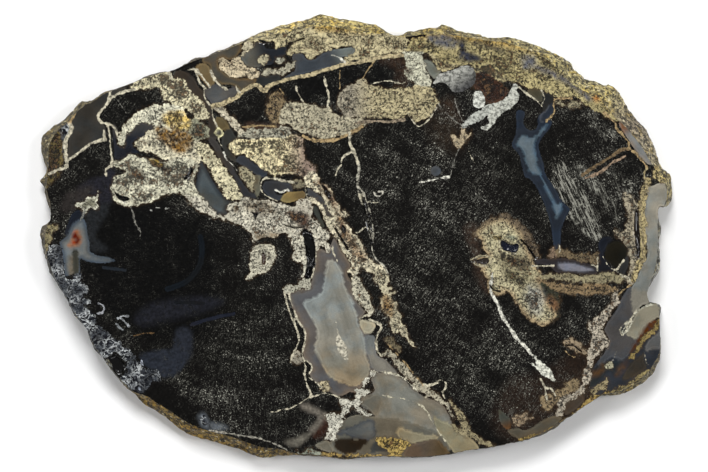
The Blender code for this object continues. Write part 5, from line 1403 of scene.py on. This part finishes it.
def blend(tree, share, under, over, how="MIX"):
    inputs = {0: share, 6: under, 7: over}
    return node(tree, "Mix", inputs, data_type="RGBA", blend_type=how).outputs[2]


def ramp_to(tree, low, high, value, start=0.0, end=1.0):
    """A smooth step from start to end while the value goes from low to high."""
    inputs = {"Value": value, 1: low, 2: high, 3: start, 4: end}
    return node(tree, "MapRange", inputs, interpolation_type="SMOOTHSTEP").outputs[0]


def attribute(tree, name):
    return node(tree, "Attribute", {}, attribute_name=name)


def clouds(tree, vector, scale, detail=2.0, roughness=0.5):
    inputs = {"Vector": vector, "Scale": scale, "Detail": detail, "Roughness": roughness}
    return node(tree, "TexNoise", inputs).outputs[0]


def cells(tree, vector, scale, feature="F1"):
    inputs = {"Vector": vector, "Scale": scale}
    return node(tree, "TexVoronoi", inputs, feature=feature)


def brightened(tree, colour, factor):
    """The colour times a varying factor."""
    return node(tree, "VectorMath", {0: colour, "Scale": factor}, operation="SCALE").outputs[0]


def tinted(colour):
    return (*linear(colour), 1.0)


def stretched(tree, vector, x, y):
    """Coordinates in which a pattern is x times as fine sideways and y times lengthways."""
    return node(tree, "VectorMath", {0: vector, 1: (x, y, 1.0)}, operation="MULTIPLY").outputs[0]


def warped(tree, spot, scale, reach):
    """Coordinates pushed about by a slow noise, so that no texture repeats in rows."""
    inputs = {"Vector": spot, "Scale": scale, "Detail": 2.0}
    swirl = node(tree, "TexNoise", inputs).outputs["Color"]
    inputs = {0: swirl, 1: (reach, reach, 0.0), 2: spot}
    return node(tree, "VectorMath", inputs, operation="MULTIPLY_ADD").outputs[0]


def wood_pattern(tree, spot):
    """Black wood with its pale vessels, strewn along the grain and denser in some rings."""
    tint = attribute(tree, "wood_colour")
    grain = attribute(tree, "grain").outputs["Vector"]
    rings = clouds(tree, stretched(tree, grain, 0.03, 0.17), 1.0, 4.0, 0.7)
    rings = ramp_to(tree, 0.42, 0.6, rings, 0.45, 1.5)
    drift = ramp_to(tree, 0.36, 0.64, clouds(tree, spot, 0.11, 5.0, 0.75), 0.15, 1.8)
    density = calculate(tree, "MULTIPLY", rings, drift)
    steady_share = calculate(tree, "MINIMUM", tint.outputs["Alpha"], 1.0)
    density = calculate(tree, "MULTIPLY", density, steady_share)
    strewn = warped(tree, spot, 0.25, 1.5)
    pepper = ramp_to(tree, 0.56, 0.76, clouds(tree, strewn, 3.3, 1.0, 0.6))
    rays = clouds(tree, stretched(tree, grain, 2.4, 0.3), 1.0, 2.0, 0.7)
    rays = ramp_to(tree, 0.5, 0.68, rays)
    vessels = cells(tree, strewn, 1.9)
    chance = node(tree, "SeparateColor", {0: vessels.outputs["Color"]})
    rarity = calculate(tree, "MULTIPLY_ADD", density, -0.5, 1.0)
    chosen = ramp_to(tree, 0.0, 0.3, calculate(tree, "SUBTRACT", chance.outputs[0], rarity))
    size = calculate(tree, "MULTIPLY_ADD", chance.outputs[1], 0.26, 0.14)
    vessel = calculate(tree, "SUBTRACT", size, vessels.outputs["Distance"])
    vessel = calculate(tree, "MULTIPLY", chosen, ramp_to(tree, 0.0, 0.12, vessel))
    haze = calculate(tree, "MULTIPLY_ADD", rays, 0.14, calculate(tree, "MULTIPLY", pepper, 0.66))
    haze = calculate(tree, "ADD", haze, 0.008)
    silk = clouds(tree, stretched(tree, grain, 2.2, 0.2), 1.0, 4.0, 0.8)
    silk = calculate(tree, "MULTIPLY", ramp_to(tree, 0.5, 0.6, silk), drift)
    excess = ramp_to(tree, 1.0, 3.0, tint.outputs["Alpha"], 0.0, 2.0)
    haze = calculate(tree, "MULTIPLY_ADD", haze, density, calculate(tree, "MULTIPLY", silk, excess))
    pale = calculate(tree, "MULTIPLY_ADD", vessel, 0.9, haze)
    pale = calculate(tree, "MINIMUM", pale, 0.9)
    mottle = ramp_to(tree, 0.3, 0.7, clouds(tree, spot, 1.7, 3.0), 0.7, 1.25)
    black = brightened(tree, tint.outputs["Color"], mottle)
    return blend(tree, pale, black, tinted((150, 149, 138)))


def agate_pattern(tree, spot):
    """Clouded silica with a pale line and faint bands along the walls of its crack."""
    tint = attribute(tree, "agate_colour")
    inward = attribute(tree, "band_depth").outputs["Fac"]
    drift = clouds(tree, spot, 0.5, 3.0, 0.55)
    inward = calculate(tree, "MULTIPLY_ADD", drift, 1.6, calculate(tree, "SUBTRACT", inward, 0.8))
    wave = calculate(tree, "SINE", calculate(tree, "MULTIPLY", inward, 6.2))
    broad = calculate(tree, "SINE", calculate(tree, "MULTIPLY", inward, 1.7))
    banding = calculate(tree, "MULTIPLY_ADD", wave, 0.35, broad)
    banding = calculate(tree, "MULTIPLY", banding, tint.outputs["Alpha"])
    cloud = ramp_to(tree, 0.35, 0.65, clouds(tree, spot, 0.25, 5.0, 0.6), 0.84, 1.14)
    factor = calculate(tree, "MULTIPLY_ADD", banding, 0.08, cloud)
    line = calculate(tree, "MULTIPLY", ramp_to(tree, 0.0, 0.22, inward), ramp_to(tree, 0.6, 0.25, inward))
    factor = calculate(tree, "MULTIPLY_ADD", line, 0.3, factor)
    grainy = calculate(tree, "MULTIPLY_ADD", clouds(tree, spot, 3.0, 2.0, 0.7), 0.5, 0.75)
    warmth = ramp_to(tree, 0.4, 0.6, clouds(tree, spot, 0.14, 3.0, 0.6))
    hue = blend(tree, warmth, WARM_HUE, COOL_HUE)
    colour = blend(tree, 1.0, tint.outputs["Color"], hue, "MULTIPLY")
    return brightened(tree, colour, calculate(tree, "MULTIPLY", factor, grainy))


def crystal_pattern(tree, spot):
    """Small crystals sawn through: white rims and wisps on dark slate."""
    moved = warped(tree, spot, 0.5, 4.0)
    rim = ramp_to(tree, 0.12, 0.02, cells(tree, moved, 0.62, "DISTANCE_TO_EDGE").outputs[0])
    wisp = ramp_to(tree, 0.52, 0.63, clouds(tree, moved, 0.9, 4.0, 0.8))
    lit = ramp_to(tree, 0.42, 0.62, clouds(tree, spot, 0.3, 2.0), 0.1, 0.8)
    pale = calculate(tree, "MULTIPLY", calculate(tree, "MAXIMUM", rim, wisp), lit)
    body = ramp_to(tree, 0.38, 0.62, clouds(tree, moved, 0.45, 3.0, 0.6))
    colour = blend(tree, body, tinted((15, 17, 23)), tinted((56, 60, 66)))
    colour = blend(tree, pale, colour, tinted((206, 210, 210)))
    crumbs = ramp_to(tree, 0.36, 0.62, clouds(tree, spot, 2.2, 3.0, 0.7), 0.3, 1.1)
    return brightened(tree, colour, crumbs)


def crust_pattern(tree, spot):
    """Porous grains of opal inside a smooth pale lip. Gives the colour and how deep the pits are."""
    tint = attribute(tree, "crust_colour")
    pitting = tint.outputs["Alpha"]
    depth = attribute(tree, "crust_depth").outputs["Fac"]
    moved = warped(tree, spot, 0.4, 1.0)
    patchy = ramp_to(tree, 0.4, 0.6, clouds(tree, moved, 0.22, 2.0))
    broad = ramp_to(tree, 0.36, 0.62, clouds(tree, moved, 0.5, 3.0, 0.6), 0.8, 1.12)
    crumbs = ramp_to(tree, 0.36, 0.6, clouds(tree, moved, 2.3, 3.0, 0.8), 0.74, 1.1)
    beads = cells(tree, moved, 1.3).outputs["Distance"]
    crumbs = calculate(tree, "MULTIPLY", crumbs, ramp_to(tree, 0.3, 0.75, beads, 1.05, 0.84))
    colour = brightened(tree, tint.outputs["Color"], calculate(tree, "MULTIPLY", crumbs, broad))
    inside = ramp_to(tree, 0.1, 1.2, depth, 0.3, 1.0)
    wear = calculate(tree, "MULTIPLY_ADD", patchy, 1.2, 0.45)
    wear = calculate(tree, "MULTIPLY", calculate(tree, "MULTIPLY", pitting, wear), inside)
    pores = calculate(tree, "MULTIPLY_ADD", wear, 0.12, clouds(tree, moved, 1.75, 3.0, 0.8))
    pores = ramp_to(tree, 0.59, 0.63, pores)
    hollows = calculate(tree, "MULTIPLY_ADD", wear, 0.07, clouds(tree, moved, 0.95, 4.0, 0.8))
    hollows = ramp_to(tree, 0.6, 0.64, hollows)
    pit = calculate(tree, "MAXIMUM", pores, hollows)
    fold = clouds(tree, moved, 0.42, 3.0, 0.6)
    fold = calculate(tree, "ABSOLUTE", calculate(tree, "SUBTRACT", fold, 0.5))
    crack = ramp_to(tree, 0.012, 0.003, calculate(tree, "MULTIPLY_ADD", wear, -0.01, fold))
    pit = calculate(tree, "MAXIMUM", pit, calculate(tree, "MULTIPLY", crack, 0.8))
    dust = clouds(tree, spot, 1.6, 2.0, 0.7)
    # Painted shade: the pores are brown, and the deeper hollows nearly black, as the shade down in them.
    pit_brown_and_shade = blend(tree, hollows, tinted((14, 12, 10)), tinted((66, 48, 30)))
    pit_brown_and_shade = brightened(tree, pit_brown_and_shade, ramp_to(tree, 0.42, 0.62, dust, 0.1, 2.4))
    return blend(tree, calculate(tree, "MULTIPLY", pit, 0.93), colour, pit_brown_and_shade), pit


def frayed_depth(tree, name, raggedness):
    """How deep each spot lies in a layer whose edge is frayed."""
    depth = attribute(tree, name + "_depth").outputs["Fac"]
    return calculate(tree, "MULTIPLY_ADD", raggedness, FRAY[name], depth)


def stone_pattern():
    """All the layers, one over another: their colour, roughness and relief."""
    tree = bpy.data.node_groups.new("stone_pattern", "ShaderNodeTree")
    tree.interface.new_socket(name="Colour", in_out="OUTPUT", socket_type="NodeSocketColor")
    tree.interface.new_socket(name="Roughness", in_out="OUTPUT", socket_type="NodeSocketFloat")
    tree.interface.new_socket(name="Relief", in_out="OUTPUT", socket_type="NodeSocketFloat")
    out = tree.nodes.new("NodeGroupOutput")
    spot = node(tree, "TexCoord", {}).outputs["Object"]
    spot = node(tree, "VectorMath", {0: spot, "Scale": PER_MM}, operation="SCALE").outputs[0]
    ragged = calculate(tree, "SUBTRACT", clouds(tree, spot, RAGGED, 4.0, 0.62), 0.5)
    broken = calculate(tree, "SUBTRACT", clouds(tree, spot, BROKEN, 5.0, 0.7), 0.5)
    frays = {"agate": ragged, "crystal": ragged, "crust": broken, "quartz": broken, "gap": ragged}
    colour = wood_pattern(tree, spot)
    roughness = 0.17
    relief = 0.0
    crust_colour, pit = crust_pattern(tree, spot)
    vein_tone = ramp_to(tree, 0.38, 0.6, clouds(tree, spot, 1.1, 3.0, 0.8), 0.3, 1.2)
    quartz_colour = brightened(tree, attribute(tree, "quartz_colour").outputs["Color"], vein_tone)
    layers_up = [
        ("agate", agate_pattern(tree, spot), 0.09),
        ("crystal", crystal_pattern(tree, spot), 0.22),
        ("crust", crust_colour, 0.26),
        ("quartz", quartz_colour, 0.26),
        ("gap", attribute(tree, "gap_colour").outputs["Color"], 0.22),
    ]
    for name, tone, dullness in layers_up:
        frayed = frayed_depth(tree, name, frays[name])
        if name == "crust":
            halo = ramp_to(tree, -HALO, 0.1, frayed, 0.0, 0.5)
            colour = blend(tree, halo, colour, tinted(HALO_BROWN))
        share = ramp_to(tree, -SEAM, SEAM, frayed)
        colour = blend(tree, share, colour, tone)
        roughness = calculate(tree, "MULTIPLY_ADD", share,
                              calculate(tree, "SUBTRACT", dullness, roughness), roughness)
        if name == "crust":
            relief = calculate(tree, "MULTIPLY", share, calculate(tree, "MULTIPLY", pit, -1.0))
    tree.links.new(colour, out.inputs["Colour"])
    tree.links.new(roughness, out.inputs["Roughness"])
    tree.links.new(relief, out.inputs["Relief"])
    return tree


pattern_tree = stone_pattern()


def new_surface(name, colour, roughness, heights, bump_depth, **constants):
    """A Principled material. heights is a socket and bump_depth its height in metres."""
    material = bpy.data.materials.new(name)
    material.use_nodes = True
    tree = material.node_tree
    surface = tree.nodes["Principled BSDF"]
    for socket, value in constants.items():
        surface.inputs[socket.replace("_", " ")].default_value = value
    colour_socket, roughness_socket, height_socket = colour(tree), roughness(tree), heights(tree)
    tree.links.new(colour_socket, surface.inputs["Base Color"])
    tree.links.new(roughness_socket, surface.inputs["Roughness"])
    bump = node(tree, "Bump", {"Strength": 1.0, "Distance": bump_depth, "Height": height_socket})
    tree.links.new(bump.outputs[0], surface.inputs["Normal"])
    slice_mesh.materials.append(material)
    return material


def group_in(tree):
    """The pattern group in a material's tree, added once."""
    for old in tree.nodes:
        if old.type == "GROUP":
            return old
    new = tree.nodes.new("ShaderNodeGroup")
    new.node_tree = pattern_tree
    return new


def millimetres(tree):
    spot = node(tree, "TexCoord", {}).outputs["Object"]
    return node(tree, "VectorMath", {0: spot, "Scale": PER_MM}, operation="SCALE").outputs[0]


def rind_look(tree):
    """Weathered bark turned to stone: golden grains, white crumbs, and pits painted black as shade."""
    spot = millimetres(tree)
    tint = attribute(tree, "rind_colour").outputs["Color"]
    grains = cells(tree, spot, 1.2)
    chance = node(tree, "SeparateColor", {0: grains.outputs["Color"]})
    tone = calculate(tree, "MULTIPLY_ADD", chance.outputs[0], 0.9, 0.75)
    rough = clouds(tree, spot, 0.7, 5.0, 0.75)
    tone = calculate(tree, "MULTIPLY", tone, ramp_to(tree, 0.38, 0.6, rough, 0.3, 1.5))
    golden = ramp_to(tree, 0.5, 0.64, clouds(tree, spot, 0.3, 4.0, 0.6))
    hue = blend(tree, golden, (0.98, 1.0, 0.97, 1.0), (1.12, 1.02, 0.62, 1.0))
    colour = brightened(tree, blend(tree, 1.0, tint, hue, "MULTIPLY"), tone)
    crumb = calculate(tree, "MULTIPLY", ramp_to(tree, 0.8, 0.9, chance.outputs[1]),
                      ramp_to(tree, 0.5, 0.3, grains.outputs["Distance"]))
    colour = blend(tree, calculate(tree, "MULTIPLY", crumb, 0.8), colour, tinted((226, 214, 178)))
    # Painted shade: the rind's pits are painted nearly black, as the shade in its hollows.
    pits = ramp_to(tree, 0.5, 0.53, clouds(tree, spot, 1.0, 4.0, 0.75))
    return blend(tree, calculate(tree, "MULTIPLY", pits, 0.9), colour, tinted((30, 23, 14)))


def sawn_look(tree):
    """The same pattern as on the face, dulled by the saw's fine scratches."""
    pattern = group_in(tree).outputs["Colour"]
    scored = node(tree, "TexWave", {
        "Vector": millimetres(tree), "Scale": 0.35, "Distortion": 1.5, "Detail": 3.0,
    }, wave_type="RINGS").outputs["Fac"]
    dusty = blend(tree, 0.16, pattern, tinted((150, 147, 140)))
    return brightened(tree, dusty, calculate(tree, "MULTIPLY_ADD", scored, 0.16, 0.9))


def cleft_wall_look(tree):
    """Dark stone painted nearly black, partly as the shade deep in a cleft, with a dusting of quartz."""
    dust = ramp_to(tree, 0.62, 0.75, clouds(tree, millimetres(tree), 2.2, 4.0, 0.7), 0.0, 0.35)
    return blend(tree, dust, tinted((14, 12, 10)), tinted((110, 100, 84)))


def steady(value):
    """A roughness that wavers a little round a value."""
    return lambda tree: calculate(
        tree, "MULTIPLY_ADD", clouds(tree, millimetres(tree), 1.0, 3.0), 0.2, value - 0.1
    )


def grit(scale):
    return lambda tree: clouds(tree, millimetres(tree), scale, 5.0, 0.7)


new_surface("polished_stone", lambda tree: group_in(tree).outputs["Colour"],
            lambda tree: group_in(tree).outputs["Roughness"],
            lambda tree: group_in(tree).outputs["Relief"], 0.12 * MM, IOR=1.54)
new_surface("rough_rind", rind_look, steady(0.72), grit(1.1), 0.5 * MM, IOR=1.5)
new_surface("sawn_back", sawn_look, steady(0.5), grit(3.0), 0.05 * MM, IOR=1.5)
new_surface("cleft_walls_dark", cleft_wall_look, steady(0.65), grit(1.8), 0.3 * MM, IOR=1.5)

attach(slice_piece, "root")
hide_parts("petrified_wood_slice")

# Floor, light and camera
# A plain white sweep under soft studio light that comes from above the slice's upper rim, and a
# camera straight above with a long lens, so that the rim is seen as in a flat picture.

FLOOR_SIZE = 6.0
FLOOR_COLOUR = (0.94, 0.94, 0.94, 1.0)
VIEW_CENTRE = (-0.5 * MM, 0.25 * MM)
VIEW_WIDTH = 177.0 * MM  # what the picture's width takes in, at the height of the belt
VIEW_HEIGHT = 6.0 * MM
LENS = 250.0
SENSOR = 36.0
SOFTBOX_SIZE = 0.5
SOFTBOXES = [  # each softbox's place and its power in watts
    ((-0.1, 0.75, 1.1), 13.5),
    ((0.75, 0.1, 1.1), 6.5),
    ((-0.75, 0.1, 1.1), 4.5),
    ((0.0, -0.75, 1.1), 1.5),
]
SKY_LOW = 0.2
SKY_HIGH = 0.01

floor_mesh = bpy.data.meshes.new("floor")
floor_half = FLOOR_SIZE / 2
floor_mesh.from_pydata(
    [(-floor_half, -floor_half, 0), (floor_half, -floor_half, 0),
     (floor_half, floor_half, 0), (-floor_half, floor_half, 0)], [], [(0, 1, 2, 3)]
)
floor = bpy.data.objects.new("floor", floor_mesh)
bpy.context.scene.collection.objects.link(floor)
white = bpy.data.materials.new("white_sweep")
white.use_nodes = True
white.node_tree.nodes["Principled BSDF"].inputs["Base Color"].default_value = FLOOR_COLOUR
white.node_tree.nodes["Principled BSDF"].inputs["Roughness"].default_value = 0.9
white.node_tree.nodes["Principled BSDF"].inputs["Specular IOR Level"].default_value = 0.1
floor_mesh.materials.append(white)

for place, power in SOFTBOXES:
    light = bpy.data.lights.new("softbox", "AREA")
    light.energy = power
    light.shape = "DISK"
    light.size = SOFTBOX_SIZE
    softbox = bpy.data.objects.new("softbox", light)
    softbox.location = place
    softbox.rotation_euler = (-Vector(place)).to_track_quat("-Z", "Y").to_euler()
    bpy.context.scene.collection.objects.link(softbox)

# The room is pale near the horizon and dark overhead, where the polished face would mirror it.
room = bpy.data.worlds.new("studio")
room.use_nodes = True
bpy.context.scene.world = room
sky_tree = room.node_tree
direction = node(sky_tree, "TexCoord", {}).outputs["Generated"]
upward = node(sky_tree, "SeparateXYZ", {0: direction}).outputs["Z"]
sky = ramp_to(sky_tree, 0.2, 0.8, upward, SKY_LOW, SKY_HIGH)
sky_tree.links.new(sky, sky_tree.nodes["Background"].inputs["Strength"])
sky_tree.nodes["Background"].inputs["Color"].default_value = (1.0, 1.0, 1.0, 1.0)

lens = bpy.data.cameras.new("camera")
lens.lens = LENS
lens.sensor_width = SENSOR
camera = bpy.data.objects.new("camera", lens)
camera.location = (*VIEW_CENTRE, VIEW_HEIGHT + VIEW_WIDTH * LENS / SENSOR)
bpy.context.scene.collection.objects.link(camera)
bpy.context.scene.camera = camera
bpy.context.scene.view_settings.view_transform = "Standard"
